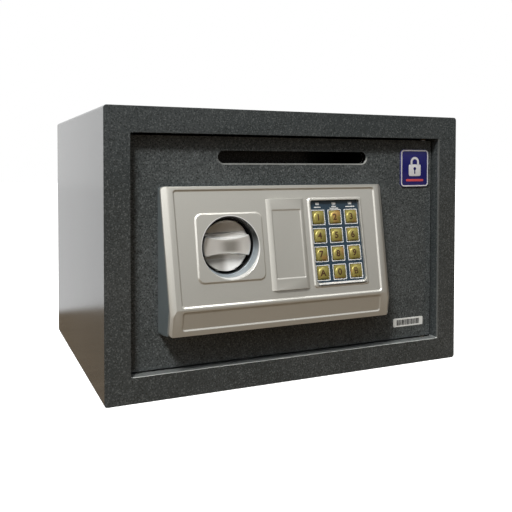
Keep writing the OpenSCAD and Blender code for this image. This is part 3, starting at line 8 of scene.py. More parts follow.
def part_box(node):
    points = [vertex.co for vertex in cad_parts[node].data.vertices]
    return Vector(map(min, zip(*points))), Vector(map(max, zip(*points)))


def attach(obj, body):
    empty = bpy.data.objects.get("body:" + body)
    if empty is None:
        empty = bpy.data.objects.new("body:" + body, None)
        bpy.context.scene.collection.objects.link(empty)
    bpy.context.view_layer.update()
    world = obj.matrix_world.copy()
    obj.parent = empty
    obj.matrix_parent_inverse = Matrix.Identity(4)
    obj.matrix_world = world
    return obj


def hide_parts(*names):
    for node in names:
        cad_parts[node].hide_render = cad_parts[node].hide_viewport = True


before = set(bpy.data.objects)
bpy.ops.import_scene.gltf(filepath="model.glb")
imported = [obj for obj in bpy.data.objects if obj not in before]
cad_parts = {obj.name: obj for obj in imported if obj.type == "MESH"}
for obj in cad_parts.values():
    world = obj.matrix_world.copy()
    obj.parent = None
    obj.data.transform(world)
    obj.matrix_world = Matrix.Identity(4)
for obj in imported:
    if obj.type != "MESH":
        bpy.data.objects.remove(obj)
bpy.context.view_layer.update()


# Cabinet: a steel tube, a back panel and a front frame, welded, with blocks inside it for the hinge.
# Its dark grey powder coat has a fine orange peel with pale and dark grains. A painted highlight
# lies on the sill's up-facing strip and on the front edges of the sill and the right jamb of the opening.
MM = 0.001
ACROSS, DEEP, UP = 0, 1, 2


class Wire:
    """A number in a node tree. Sums on it add Math nodes."""

    def __init__(self, finish, socket):
        self.finish = finish
        self.socket = socket

    def work_out(self, operation, first, second=0):
        return self.finish.node("Math", {"operation": operation}, {0: first, 1: second})

    def __add__(self, other):
        return self.work_out("ADD", self, other)

    def __sub__(self, other):
        return self.work_out("SUBTRACT", self, other)

    def __rsub__(self, other):
        return self.work_out("SUBTRACT", other, self)

    def __mul__(self, other):
        return self.work_out("MULTIPLY", self, other)

    def __abs__(self):
        return self.work_out("ABSOLUTE", self)

    def at_least(self, other):
        return self.work_out("MAXIMUM", self, other)

    __radd__ = __add__
    __rmul__ = __mul__


class Finish:
    """A procedural material, with the settings of its main shader that are the same all over."""

    def __init__(self, name, **settings):
        self.material = bpy.data.materials.new(name)
        self.material.use_nodes = True
        self.tree = self.material.node_tree
        self.shader = self.tree.nodes["Principled BSDF"]
        for socket, value in settings.items():
            self.shader.inputs[socket.replace("_", " ")].default_value = value

    def node(self, kind, settings, inputs, output=0):
        """A new node with its settings, and with the values or links of its sockets."""
        made = self.tree.nodes.new("ShaderNode" + kind)
        for setting, value in settings.items():
            setattr(made, setting, value)
        for socket, value in inputs.items():
            self.feed(made.inputs[socket], value)
        return Wire(self, made.outputs[output])

    def feed(self, socket, value):
        if isinstance(value, Wire):
            self.tree.links.new(value.socket, socket)
        else:
            socket.default_value = value

    def vary(self, socket, value):
        self.feed(self.shader.inputs[socket], value)

    def place(self, stretch=(1, 1, 1)):
        """The point on the piece in metres, with each of its three parts multiplied."""
        here = self.node("TexCoord", {}, {}, "Object")
        return self.node("VectorMath", {"operation": "MULTIPLY"}, {0: here, 1: stretch})

    def along(self, axis):
        return self.node("SeparateXYZ", {}, {0: self.place()}, axis)

    def length(self, vector):
        return self.node("VectorMath", {"operation": "LENGTH"}, {0: vector}, 1)

    def facing_up(self):
        """1 on a level top, 0 on an upright wall and -1 underneath."""
        facing = self.node("NewGeometry", {}, {}, "Normal")
        return self.node("VectorMath", {"operation": "DOT_PRODUCT"}, {0: facing, 1: (0, 0, 1)}, 1)

    def grain(self, size, detail=2.0, stretch=(1, 1, 1)):
        return self.node("TexNoise", {"noise_dimensions": "3D"},
                         {"Vector": self.place(stretch), "Scale": 1 / size, "Detail": detail})

    def cells(self, size, stretch=(1, 1, 1)):
        return self.node("TexVoronoi", {"feature": "F1"},
                         {"Vector": self.place(stretch), "Scale": 1 / size}, "Distance")

    def step(self, value, start, full):
        """A soft step from 0 at the start to 1 where it is full. The start may be the higher value."""
        return self.node("MapRange", {"interpolation_type": "SMOOTHSTEP"},
                         {"Value": value, "From Min": start, "From Max": full})

    def band(self, axis, middle, reach):
        """1 between the two inner distances from the middle, in mm, and 0 beyond the outer two."""
        start, full, fading, end = (middle + distance * MM for distance in reach)
        return self.step(self.along(axis), start, full) * self.step(self.along(axis), end, fading)

    def mix(self, mask, first, second):
        return self.node("Mix", {"data_type": "RGBA"}, {0: mask, 6: first, 7: second}, 2)

    def drift(self, mask, first, second, rough, rougher):
        """Colour from one tone to the other with a mask, and roughness that the mask raises."""
        self.vary("Base Color", self.mix(mask, first, second))
        self.vary("Roughness", rough + rougher * mask)

    def relief(self, height, depth, strength):
        bump = self.node("Bump", {}, {"Height": height, "Distance": depth, "Strength": strength})
        self.vary("Normal", bump)


def tint(red, green, blue):
    return (red, green, blue, 1.0)


def powder(name, dark, light, pale, **shine):
    """A powder coat, and its colour: two tones that drift, under pale grains and dark ones."""
    made = Finish(name, Coat_Roughness=0.12, **shine)
    peel = made.grain(1.9 * MM)
    cloud = made.grain(60 * MM, 3.0)
    grit = made.grain(1.0 * MM)
    paint = made.mix(made.step(cloud, 0.35, 0.65), dark, light)
    pale_grit = made.mix(made.step(grit, 0.54, 0.72), paint, pale)
    made.vary("Roughness", 0.19 + 0.08 * peel)
    made.relief(peel, 0.22 * MM, 0.15)
    return made, made.mix(made.step(grit, 0.46, 0.32), pale_grit, tint(0.026, 0.030, 0.030))


# These have a few very short edges, which would hold back the rounding of all their others.
SHORT_EDGED = ("knob", "panel_front", "panel_base", "rear_case", "bolt_carriage")
WELD = 0.001 * MM
WIDE_WELD = 0.06 * MM
# In degrees: faces that meet at more than a crease show an edge, and at less than flat are one face.
CREASE = 32
FLAT = 0.4
FACE_WEIGHT = 80


def dress(finish, nodes, rounding=0.0, segments=3, corner=CREASE):
    """Gives CAD nodes a finish, and rounds their edges sharper than the corner angle by that radius."""
    for name in nodes:
        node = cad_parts[name]
        node.data.materials.clear()
        node.data.materials.append(finish.material)
        node.data.polygons.foreach_set("use_smooth", [True] * len(node.data.polygons))
        if "custom_normal" in node.data.attributes:
            node.data.attributes.remove(node.data.attributes["custom_normal"])
        weld = node.modifiers.new("weld", "WELD")
        weld.merge_threshold = WIDE_WELD if name in SHORT_EDGED else WELD
        if rounding:
            flats = node.modifiers.new("flats", "DECIMATE")
            flats.decimate_type = "DISSOLVE"
            flats.angle_limit = math.radians(FLAT)
            edges = node.modifiers.new("edges", "BEVEL")
            edges.width = rounding
            edges.segments = segments
            edges.limit_method = "ANGLE"
            edges.angle_limit = math.radians(corner)
            edges.harden_normals = corner <= CREASE
            edges.use_clamp_overlap = name not in SHORT_EDGED
        if not rounding or corner > CREASE:
            split = node.modifiers.new("split", "EDGE_SPLIT")
            split.split_angle = math.radians(CREASE)
        if corner > CREASE:
            node.modifiers.new("flat_faces", "WEIGHTED_NORMAL").weight = FACE_WEIGHT


BAND = 19.5 * MM
HIGHLIGHT_PALE = tint(0.60, 0.62, 0.60)
coat, speckled = powder("powder_coat", tint(0.040, 0.047, 0.049), tint(0.053, 0.060, 0.062),
                        tint(0.112, 0.123, 0.124), Specular_IOR_Level=0.5, Coat_Weight=0.3)
frame_low, frame_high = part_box("front_frame")
sill_z = frame_low.z + BAND
head_z = frame_high.z - BAND
jamb_x = frame_high.x - BAND
at_front = coat.step(coat.along(DEEP), frame_low.y + 1.6 * MM, frame_low.y + 1.2 * MM)
sill = coat.band(UP, sill_z, (-1.6, -1.2, 0.8, 1.2)) * coat.step(coat.facing_up(), 0.12, 0.5)
jamb = (coat.band(ACROSS, jamb_x, (-1.0, -0.6, 0.4, 1.6))
        * coat.step(coat.along(UP), sill_z - 0.5 * MM, sill_z)
        * coat.step(coat.along(UP), head_z, head_z - 0.5 * MM))
# Painted highlight: the sill's up-facing strip is a little pale, and the front edges of the sill and right
# jamb are paler.
edge_highlight = (0.22 * sill).at_least(at_front * (sill + 0.12 * jamb))
coat.vary("Base Color", coat.mix(edge_highlight, speckled, HIGHLIGHT_PALE))
dress(coat, ["cabinet_wrap", "back_panel", "hinge_blocks"])
dress(coat, ["front_frame"], 1.1 * MM)


# Door: one thick plate, coated a little lighter than the cabinet, with the deposit slot cut through.
# A painted highlight lies along the slot's lower lip, most at its right end, and the slot's inner wall is
# painted near black as shade. Behind the slot hang the chute, painted near black as shade, and the comb
# that keeps fingers and hooks out.
SLOT_HALF = 69 * MM
SLOT_R = 5 * MM
SLOT_DROP = 16 * MM
door_coat, speckled = powder("door_powder_coat", tint(0.059, 0.067, 0.069), tint(0.076, 0.084, 0.086),
                             tint(0.148, 0.161, 0.163), Specular_IOR_Level=0.25, Coat_Weight=0.08)
door_low, door_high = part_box("door_plate")
slot_z = door_high.z - SLOT_DROP
sideways = abs(door_coat.along(ACROSS)) - (SLOT_HALF - SLOT_R)
from_slot = door_coat.length(door_coat.node("CombineXYZ", {}, {0: sideways.at_least(0),
                                                               2: door_coat.along(UP) - slot_z}))
behind_face = (door_coat.step(door_coat.along(DEEP), door_low.y + 0.6 * MM, door_low.y + 0.8 * MM)
               * door_coat.step(door_coat.along(DEEP), door_high.y - 0.2 * MM, door_high.y - 0.4 * MM))
# Painted shade: the slot's inner wall is coloured near black.
slot_wall_shade = behind_face * door_coat.step(from_slot, SLOT_R + 0.4 * MM, SLOT_R + 0.2 * MM)
left_end = door_coat.step(door_coat.along(ACROSS), -SLOT_HALF - 2 * MM, -SLOT_HALF + 8 * MM)
right_end = door_coat.step(door_coat.along(ACROSS), SLOT_HALF - 20 * MM, SLOT_HALF)
# Painted highlight along the slot's lower lip, brightest at its right end.
lip_highlight = (door_coat.step(from_slot, SLOT_R + 1.3 * MM, SLOT_R + 0.8 * MM)
              * (0.08 + 0.34 * left_end + 0.26 * right_end)
              * door_coat.step(door_coat.along(UP), slot_z + 2 * MM, slot_z - 3 * MM))
lip_highlighted = door_coat.mix(lip_highlight, speckled, HIGHLIGHT_PALE)
door_coat.vary("Base Color", door_coat.mix(slot_wall_shade, lip_highlighted, tint(0.003, 0.003, 0.003)))
dress(door_coat, ["door_plate"], 0.6 * MM)

# The chute's near-black colour is painted shade, so the slot looks unlit inside.
chute_shade = Finish("chute_painted_shade", Specular_IOR_Level=0.1)
chute_shade.drift(chute_shade.grain(6 * MM, 3.0), tint(0.002, 0.002, 0.002), tint(0.005, 0.005, 0.005), 0.6, 0.2)
dress(chute_shade, ["deposit_chute"], 0.3 * MM, segments=2)
dress(coat, ["anti_fishing_comb"], 0.3 * MM, segments=2)


# Hinge: two turned steel pins at the door's right edge, hidden behind the frame.
# They turn in dark bronze bushes, pressed into the blocks in the cabinet.
bronze = Finish("oiled_bronze", Metallic=1.0)
turned = bronze.grain(0.5 * MM, 2.0, (1, 1, 30))
bronze.drift(turned, tint(0.045, 0.036, 0.024), tint(0.085, 0.066, 0.042), 0.34, 0.2)
dress(bronze, ["hinge_bushes"])

steel = Finish("turned_steel", Metallic=1.0)
lathe = steel.grain(0.6 * MM, 3.0, (1, 25, 1))
steel.drift(lathe, tint(0.50, 0.51, 0.52), tint(0.66, 0.66, 0.66), 0.18, 0.22)
steel.relief(lathe, 0.02 * MM, 0.4)
dress(steel, ["hinge_pins"])


# Floor mat: black rubber with ribs that run from front to back, cut from a ribbed sheet.
# It lies loose on the cabinet's floor.
rubber = Finish("floor_rubber", Specular_IOR_Level=0.35)
rubber.drift(rubber.grain(9 * MM, 4.0), tint(0.016, 0.016, 0.017), tint(0.035, 0.034, 0.033), 0.62, 0.2)
rubber.relief(rubber.grain(0.5 * MM), 0.05 * MM, 0.5)


def piece(name, mesh, body, finish):
    """A mesh in the row frame that rides on a body."""
    made = bpy.data.objects.new(name, mesh)
    bpy.context.scene.collection.objects.link(made)
    mesh.materials.append(finish.material)
    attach(made, body)
    return made


def soften(mesh):
    """Smooth shading, with a sharp edge wherever two faces meet at more than a crease."""
    mesh.polygons.foreach_set("use_smooth", [True] * len(mesh.polygons))
    mesh.set_sharp_from_angle(angle=math.radians(CREASE))


def skin(name, rings, matrix=Matrix.Identity(4), capped=True):
    """A mesh through closed rings of points, each ring with as many points as the last."""
    mesh = bpy.data.meshes.new(name)
    grown = bmesh.new()
    rows = [[grown.verts.new(matrix @ Vector(p)) for p in ring] for ring in rings]
    count = len(rows[0])
    for low, high in zip(rows, rows[1:]):
        for i in range(count):
            j = (i + 1) % count
            grown.faces.new((low[i], low[j], high[j], high[i]))
    if capped:
        grown.faces.new(rows[0][::-1])
        grown.faces.new(rows[-1])
    bmesh.ops.recalc_face_normals(grown, faces=grown.faces)
    grown.to_mesh(mesh)
    grown.free()
    soften(mesh)
    return mesh


RIB_PITCH = 4 * MM
RIB_HIGH = 1.2 * MM
# Across one rib and its groove: places as shares of the pitch, with their heights as shares.
RIB_FORM = ((0.0, 0.0), (0.12, 0.7), (0.25, 1.0), (0.4, 1.0), (0.53, 0.7), (0.65, 0.0))
mat_low, mat_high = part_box("floor_mat")
groove_z = mat_high.z - RIB_HIGH
rib_count = round((mat_high.x - mat_low.x) / RIB_PITCH)
pitch = (mat_high.x - mat_low.x) / rib_count
ribs = [(mat_low.x + (i + share) * pitch, mat_high.z - RIB_HIGH * (1 - high))
        for i in range(rib_count) for share, high in RIB_FORM]
mat_outline = [(mat_low.x, mat_low.z)] + ribs + [(mat_high.x, groove_z), (mat_high.x, mat_low.z)]
mat_mesh = skin("floor_mat_ribs", [[(x, y, z) for x, z in mat_outline] for y in (mat_low.y, mat_high.y)])
mat = piece("floor_mat_ribs", mat_mesh, "cabinet", rubber)
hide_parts("floor_mat")


# Bolt work behind the door: a punched carriage with two turned bolts, held by nuts. It slides on
# studs with washers, in a folded bracket, and a crank on the knob's spindle drives it.
# The punched parts are zinc plated.
zinc = Finish("zinc_plate", Metallic=1.0)
haze = zinc.grain(14 * MM, 3.0)
zinc.vary("Base Color", zinc.mix(zinc.step(haze, 0.3, 0.7), tint(0.50, 0.51, 0.50), tint(0.63, 0.62, 0.56)))
zinc.vary("Roughness", 0.26 + 0.16 * zinc.cells(3.5 * MM))
zinc.relief(zinc.grain(0.8 * MM, 3.0), 0.03 * MM, 0.3)
dress(zinc, ["bolt_carriage", "drive_crank", "bolt_nuts", "stud_washers"], 0.25 * MM, segments=2)
dress(steel, ["locking_bolts"], 0.6 * MM)
dress(steel, ["knob_spindle", "crank_pin", "guide_studs"])
dress(coat, ["bolt_bracket"], 0.3 * MM, segments=2)


# Lock panel's base: a dark slate moulding, screwed to the door from behind.
# Its moulded skin is finely pebbled.
slate = Finish("slate_moulding", Specular_IOR_Level=0.4)
pebble = slate.grain(0.5 * MM)
slate_tone = slate.mix(slate.grain(25 * MM, 3.0), tint(0.085, 0.102, 0.108), tint(0.120, 0.140, 0.146))
slate.vary("Base Color", slate_tone)
slate.vary("Roughness", 0.42 + 0.2 * pebble)
slate.relief(pebble, 0.05 * MM, 0.5)
dress(slate, ["panel_base"], 0.5 * MM)


# Lock panel's front and the cover of the emergency lock: mouldings in satin silver paint with fine
# flakes. A painted highlight lies on the rim of the knob's pocket and on the foot of the keypad's window,
# and the pocket is painted with shade, darkest at its top and in the joint round the knob.
POCKET_R = 23.5 * MM
JOINT = 1.5 * MM
silver = Finish("silver_paint", Specular_IOR_Level=0.5, Metallic=0.65, Coat_Weight=0.2, Coat_Roughness=0.12)
flake = silver.grain(0.25 * MM)
satin = silver.mix(flake, tint(0.53, 0.52, 0.475), tint(0.67, 0.66, 0.608))
knob_low, knob_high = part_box("knob")
knob_r = (knob_high.x - knob_low.x) / 2
knob_x = (knob_low.x + knob_high.x) / 2
knob_z = (knob_low.z + knob_high.z) / 2
off_axis = silver.node("VectorMath", {"operation": "SUBTRACT"},
                       {0: silver.place((1, 0, 1)), 1: (knob_x, 0, knob_z)})
from_knob = silver.length(off_axis)
pocket = silver.step(from_knob, POCKET_R + 0.3 * MM, POCKET_R)
# Painted highlight: a pale ring at the pocket's rim.
rim_highlight = (silver.step(from_knob, POCKET_R + 0.1 * MM, POCKET_R + 0.3 * MM)
              * silver.step(from_knob, POCKET_R + 0.9 * MM, POCKET_R + 0.7 * MM))
rim_highlighted = silver.mix(rim_highlight, satin, tint(0.95, 0.95, 0.93))
# Painted shade in the pocket: dark at its top, lighter blue-grey lower down, and near black in the joint
# round the knob.
low_in_pocket = silver.step(silver.along(UP), knob_z + 10 * MM, knob_z - 6 * MM)
pocket_shade = silver.mix(low_in_pocket, tint(0.045, 0.045, 0.045), tint(0.36, 0.40, 0.43))
joint_shadow = silver.step(from_knob, knob_r + JOINT + 0.7 * MM, knob_r + JOINT)
pocket_shade_tone = silver.mix(joint_shadow, pocket_shade, tint(0.004, 0.004, 0.005))
low_key, high_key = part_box("key_a")[0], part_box("key_b")[1]
# Painted highlight: the up-facing foot of the keypad's window is painted near white.
window_foot_highlight = (silver.step(silver.facing_up(), 0.4, 0.6) * silver.band(UP, low_key.z, (-8, -7, -1.5, -0.5))
               * silver.step(silver.along(ACROSS), low_key.x - 13 * MM, low_key.x - 12 * MM)
               * silver.step(silver.along(ACROSS), high_key.x + 13 * MM, high_key.x + 12 * MM))
highlighted_satin = silver.mix(window_foot_highlight, rim_highlighted, tint(0.96, 0.96, 0.95))
silver.vary("Base Color", silver.mix(pocket, highlighted_satin, pocket_shade_tone))
silver.vary("Roughness", 0.24 + 0.10 * flake + 0.06 * silver.grain(45 * MM) + 0.22 * pocket)
silver.relief(flake, 0.02 * MM, 0.3)
dress(silver, ["panel_front"], 0.22 * MM)
dress(silver, ["override_cover"], 0.5 * MM, segments=4, corner=55)


# Knob: a turned aluminium disc, brushed across, with two finger scoops beside the grip bar.
# Its colour is darkened above the bar, on its middle and below it on the left, as painted dark reflections.
# It turns in a nylon bush in the panel.
GRIP_HALF = 6 * MM
brushed = Finish("brushed_aluminium", Metallic=0.5)
streak = brushed.grain(0.3 * MM, 3.0, (0.03, 1, 1))
lathe_haze = brushed.grain(9 * MM, 2.0, (0.6, 1, 1))
polish = brushed.step(brushed.grain(15 * MM, 1.0, (1, 1, 0.5)), 0.42, 0.60)
above_axis = brushed.along(UP) - knob_z
beside_axis = brushed.along(ACROSS) - knob_x
# Painted dark reflections: above the bar, on its middle and below it on the left, over faint random polish
# patches.
scoop_dark_reflection = (brushed.step(above_axis - 0.22 * beside_axis, GRIP_HALF - 0.5 * MM, GRIP_HALF + 2.5 * MM)
              * brushed.step(beside_axis, 26 * MM, 2 * MM)
              * brushed.step(above_axis, GRIP_HALF, GRIP_HALF + 1.5 * MM))
bar_dark_reflection = (brushed.step(above_axis, -GRIP_HALF, -GRIP_HALF + 3 * MM)
            * brushed.step(above_axis, GRIP_HALF, GRIP_HALF - 4 * MM)
            * brushed.step(abs(beside_axis - 2 * MM), 12 * MM, 2 * MM))
foot_dark_reflection = (brushed.step(above_axis, -GRIP_HALF, -GRIP_HALF - 2 * MM)
             * brushed.step(beside_axis, 3 * MM, -4 * MM))
polish_and_dark_reflections = 0.12 * polish + 0.62 * scoop_dark_reflection + 0.66 * bar_dark_reflection + 0.72 * foot_dark_reflection
bright = brushed.mix(streak, tint(0.83, 0.83, 0.81), tint(0.96, 0.96, 0.94))
brushed.vary("Base Color", brushed.mix(polish_and_dark_reflections, bright, tint(0.22, 0.21, 0.185)))
brushed.vary("Roughness", 0.20 + 0.12 * streak + 0.14 * lathe_haze)
brushed.relief(streak, 0.09 * MM, 0.6)
dress(brushed, ["knob"], 0.8 * MM, segments=4)

nylon = Finish("natural_nylon", Subsurface_Weight=0.1, Specular_IOR_Level=0.5)
nylon.vary("Base Color", nylon.mix(nylon.grain(4 * MM), tint(0.62, 0.60, 0.53), tint(0.72, 0.70, 0.64)))
nylon.vary("Roughness", 0.4 + 0.15 * nylon.grain(1 * MM))
dress(nylon, ["knob_bush"])


# Emergency lock under its cover: a brass plug with a groove for a round key, in a steel barrel.
# A nut holds the barrel behind the door, where the plug carries a plated lever.
brass = Finish("plug_brass", Metallic=1.0)
brass.drift(brass.grain(1.2 * MM, 4.0), tint(0.56, 0.42, 0.18), tint(0.76, 0.62, 0.34), 0.16, 0.22)
dress(brass, ["override_plug"], 0.3 * MM)
dress(steel, ["override_barrel"], 0.4 * MM)
dress(zinc, ["override_nut", "override_lever"], 0.25 * MM, segments=2)


# Keypad: a printed plate in dark slate blue behind the panel's window, over the circuit board.
# White squares are printed round the keys, and short white bars under the three lamps.
# Small plated screws hold the board.
TILT = math.radians(11)
OVERLAY_T = 0.8 * MM


def shift(x, y, z=0.0):
    return Matrix.Translation((x, y, z))


overlay_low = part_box("keypad_plate")[0]
face = (shift(0, overlay_low.y, overlay_low.z + OVERLAY_T * math.sin(TILT))
        @ Matrix.Rotation(math.pi / 2 - TILT, 4, "X"))

overlay = Finish("overlay_print", Specular_IOR_Level=0.5)
weave = overlay.grain(0.3 * MM)
overlay.drift(weave, tint(0.014, 0.030, 0.050), tint(0.024, 0.050, 0.076), 0.3, 0.16)
overlay.relief(weave, 0.02 * MM, 0.3)
dress(overlay, ["keypad_plate"])

lens = Finish("lamp_lens", Specular_IOR_Level=0.6, Transmission_Weight=0.25)
lens.drift(lens.grain(0.4 * MM), tint(0.80, 0.82, 0.84), tint(0.95, 0.96, 0.97), 0.2, 0.2)
dress(lens, ["status_lamps"])

board = Finish("solder_mask", Specular_IOR_Level=0.5)
tracks = board.step(board.cells(3 * MM, (1, 1, 0.4)), 0.30, 0.34)
board.drift(tracks, tint(0.02, 0.16, 0.07), tint(0.035, 0.24, 0.10), 0.35, 0.15)
dress(board, ["circuit_board"])
dress(zinc, ["board_screws"])

white_ink = Finish("white_ink", Specular_IOR_Level=0.4)
white_ink.drift(white_ink.grain(0.4 * MM, 3.0), tint(0.70, 0.71, 0.71), tint(0.84, 0.84, 0.84), 0.42, 0.15)

CORNER_STEPS = 5
EDGE_STEPS = 4
LEAST_R = 0.02 * MM


def rounded(width, height, radius):
    """Points round a rectangle about the origin with round corners."""
    points = []
    for corner, (sx, sy) in enumerate(((1, 1), (-1, 1), (-1, -1), (1, -1))):
        for i in range(CORNER_STEPS + 1):
            angle = math.pi / 2 * (corner + i / CORNER_STEPS)
            points.append((sx * (width / 2 - radius) + radius * math.cos(angle),
                           sy * (height / 2 - radius) + radius * math.sin(angle)))
    return points


def border(name, outer, inner, thick, matrix):
    """A flat band between two outlines, with both edges square to it."""
    rings = [[(x, y, 0) for x, y in outer], [(x, y, thick) for x, y in outer],
             [(x, y, thick) for x, y in inner], [(x, y, 0) for x, y in inner]]
    return skin(name, rings + [rings[0]], matrix, capped=False)


def tablet(name, width, height, radius, thick, edge, matrix):
    """A plate with a softly rounded front edge."""
    rings = [[(x, y, 0) for x, y in rounded(width, height, radius)]]
    for i in range(EDGE_STEPS + 1):
        angle = math.pi / 2 * i / EDGE_STEPS
        inset = edge * (1 - math.cos(angle))
        outline = rounded(width - 2 * inset, height - 2 * inset, max(radius - inset, LEAST_R))
        rings.append([(x, y, thick - edge * (1 - math.sin(angle))) for x, y in outline])
    return skin(name, rings, matrix)


def join(name, meshes):
    """One mesh from several."""
    grown = bmesh.new()
    for mesh in meshes:
        grown.from_mesh(mesh)
        bpy.data.meshes.remove(mesh)
    mesh = bpy.data.meshes.new(name)
    grown.to_mesh(mesh)
    grown.free()
    soften(mesh)
    return mesh


def key_place(legend):
    """Middle of a key on the overlay: across, and up the face."""
    low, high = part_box("key_" + legend)
    middle = face.inverted() @ ((low + high) / 2)
    return middle.x, middle.y


LEGENDS = "123456789a0b"
KEY_SIDE = 11.5 * MM
PRINT_LINE = 0.62 * MM
PRINT_T = 0.06 * MM
LAMP_BAR_HIGH = 0.8 * MM
# The bars under each lamp, by the key below it: how far down each is and how wide, in mm.
LAMP_BARS = {"1": ((2.9, 6.4),), "2": ((2.5, 4.4), (4.0, 8.4)), "3": ((2.9, 9.0),)}
square_side = KEY_SIDE + 2 * PRINT_LINE
prints = []
for legend in LEGENDS:
    x, up = key_place(legend)
    prints.append(border("square", rounded(square_side, square_side, 0.7 * MM),
                         rounded(KEY_SIDE, KEY_SIDE, 0.5 * MM), PRINT_T, face @ shift(x, up)))
lamp_low, lamp_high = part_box("status_lamps")
lamp_up = (face.inverted() @ ((lamp_low + lamp_high) / 2)).y
for legend, lamp_bars in LAMP_BARS.items():
    x = key_place(legend)[0]
    for drop, width in lamp_bars:
        prints.append(tablet("lamp_bar", width * MM, LAMP_BAR_HIGH, 0.3 * MM, PRINT_T, 0.02 * MM,
                             face @ shift(x, lamp_up - drop * MM)))
piece("keypad_squares", join("keypad_squares", prints), "door", white_ink)


# Keys: moulded squares in metallic gold paint, each with an arched pad that carries its figure.
# The figures are plain numbers and two letters, printed in dark red-brown ink.
gold = Finish("key_gold", Metallic=0.55, Specular_IOR_Level=0.5)
glint = gold.grain(0.3 * MM)
warm = gold.step(gold.grain(11 * MM), 0.54, 0.68)
olive = gold.mix(gold.grain(7 * MM, 3.0), tint(0.26, 0.225, 0.055), tint(0.42, 0.36, 0.11))
gold.vary("Base Color", gold.mix(0.55 * warm, olive, tint(0.52, 0.26, 0.09)))
gold.vary("Roughness", 0.34 + 0.14 * glint)
gold.relief(glint, 0.02 * MM, 0.3)
dress(gold, ["key_" + legend for legend in LEGENDS], 0.35 * MM)

dark_ink = Finish("dark_ink", Specular_IOR_Level=0.4)
dark_ink.vary("Base Color", dark_ink.mix(dark_ink.grain(0.5 * MM, 3.0), tint(0.030, 0.014, 0.006),
                                         tint(0.085, 0.036, 0.012)))
dark_ink.vary("Roughness", 0.4 + 0.2 * dark_ink.grain(0.3 * MM))

CROWN_R = 40 * MM
KEY_HIGH = 1.0 * MM
DOME_R = 4.5 * MM
DOME_HIGH = 0.7 * MM
DOME_FOOT = 0.45
DOME_RINGS = 9
DOME_POINTS = 48
# Below its middle the pad runs out lower than a circle, to a straight end, as shares of the radius.
FOOT_STRETCH = 1.5
FOOT_END = 0.96
PAD_SUNK = 0.5 * MM
FIGURE_X = -0.7 * MM
FIGURE_SIZE = 7.2 * MM
FIGURE_FACET = 0.5 * MM
FIGURE_WELD = 0.012 * MM
FIGURE_SLIVER = 0.004 * MM
INK_T = 0.03 * MM
# How far the strokes are thickened, as a share of the size. The bowls of a B would close up.
BOLD = 0.028
BOLD_B = 0.016


def circle(radius, count):
    return [(radius * math.cos(math.tau * i / count), radius * math.sin(math.tau * i / count))
            for i in range(count)]


def dome_height(x, y):
    """Height over the overlay of a key's crowned top with its arched pad."""
    away = math.hypot(x, y)
    crown = KEY_HIGH - CROWN_R + math.sqrt(CROWN_R ** 2 - away ** 2)
    away = math.hypot(x, y if y > 0 else y * DOME_FOOT)
    rise = max(0.0, 1 - (away / DOME_R) ** 2)
    return crown + DOME_HIGH * rise ** 0.5


def key_figure(text, matrix):
    """A character as a thin mesh that follows the pad, a little left of its middle."""
    curve = bpy.data.curves.new("figure", "FONT")
    curve.body = text
    curve.size = FIGURE_SIZE
    curve.align_x = "CENTER"
    curve.align_y = "CENTER"
    curve.resolution_u = 4
    curve.offset = (BOLD_B if text == "B" else BOLD) * FIGURE_SIZE
    drawn = bpy.data.objects.new("figure", curve)
    bpy.context.scene.collection.objects.link(drawn)
    bpy.context.view_layer.update()
    mesh = bpy.data.meshes.new_from_object(drawn.evaluated_get(bpy.context.evaluated_depsgraph_get()))
    bpy.data.objects.remove(drawn)
    bpy.data.curves.remove(curve)
    grown = bmesh.new()
    grown.from_mesh(mesh)
    bmesh.ops.remove_doubles(grown, verts=grown.verts, dist=FIGURE_WELD)
    bmesh.ops.dissolve_degenerate(grown, edges=grown.edges, dist=FIGURE_SLIVER)
    bmesh.ops.triangulate(grown, faces=grown.faces)
    for _ in range(2):
        long = [e for e in grown.edges if e.calc_length() > FIGURE_FACET]
        bmesh.ops.subdivide_edges(grown, edges=long, cuts=1)
        bmesh.ops.triangulate(grown, faces=grown.faces)
    mid_y = (max(v.co.y for v in grown.verts) + min(v.co.y for v in grown.verts)) / 2
    mid_x = (max(v.co.x for v in grown.verts) + min(v.co.x for v in grown.verts)) / 2
    raised = bmesh.ops.extrude_face_region(grown, geom=grown.faces[:])
    top = {v for v in raised["geom"] if isinstance(v, bmesh.types.BMVert)}
    for v in grown.verts:
        x, y = v.co.x - mid_x, v.co.y - mid_y
        v.co = (x, y, dome_height(x + FIGURE_X, y) + (INK_T if v in top else -INK_T))
    bmesh.ops.recalc_face_normals(grown, faces=grown.faces)
    bmesh.ops.transform(grown, matrix=matrix @ shift(FIGURE_X, 0), verts=grown.verts)
    grown.to_mesh(mesh)
    grown.free()
    soften(mesh)
    return mesh


dome_rings = []
for i in range(DOME_RINGS):
    ring_r = DOME_R * (1 - i / DOME_RINGS)
    ring = []
    for away, rise in circle(ring_r, DOME_POINTS):
        if rise < 0:
            rise = max(FOOT_STRETCH * rise, -FOOT_END * ring_r)
        ring.append((away, rise, dome_height(away, rise)))
    dome_rings.append(ring)
dome_rings.insert(0, [(x, y, KEY_HIGH - PAD_SUNK) for x, y, z in dome_rings[0]])
for legend in LEGENDS:
    key_at = face @ shift(*key_place(legend))
    dome = skin("key_dome_" + legend, dome_rings, key_at)
    piece("key_dome_" + legend, dome, "key_" + legend, gold)
    piece("key_figure_" + legend, key_figure(legend.upper(), key_at), "key_" + legend, dark_ink)


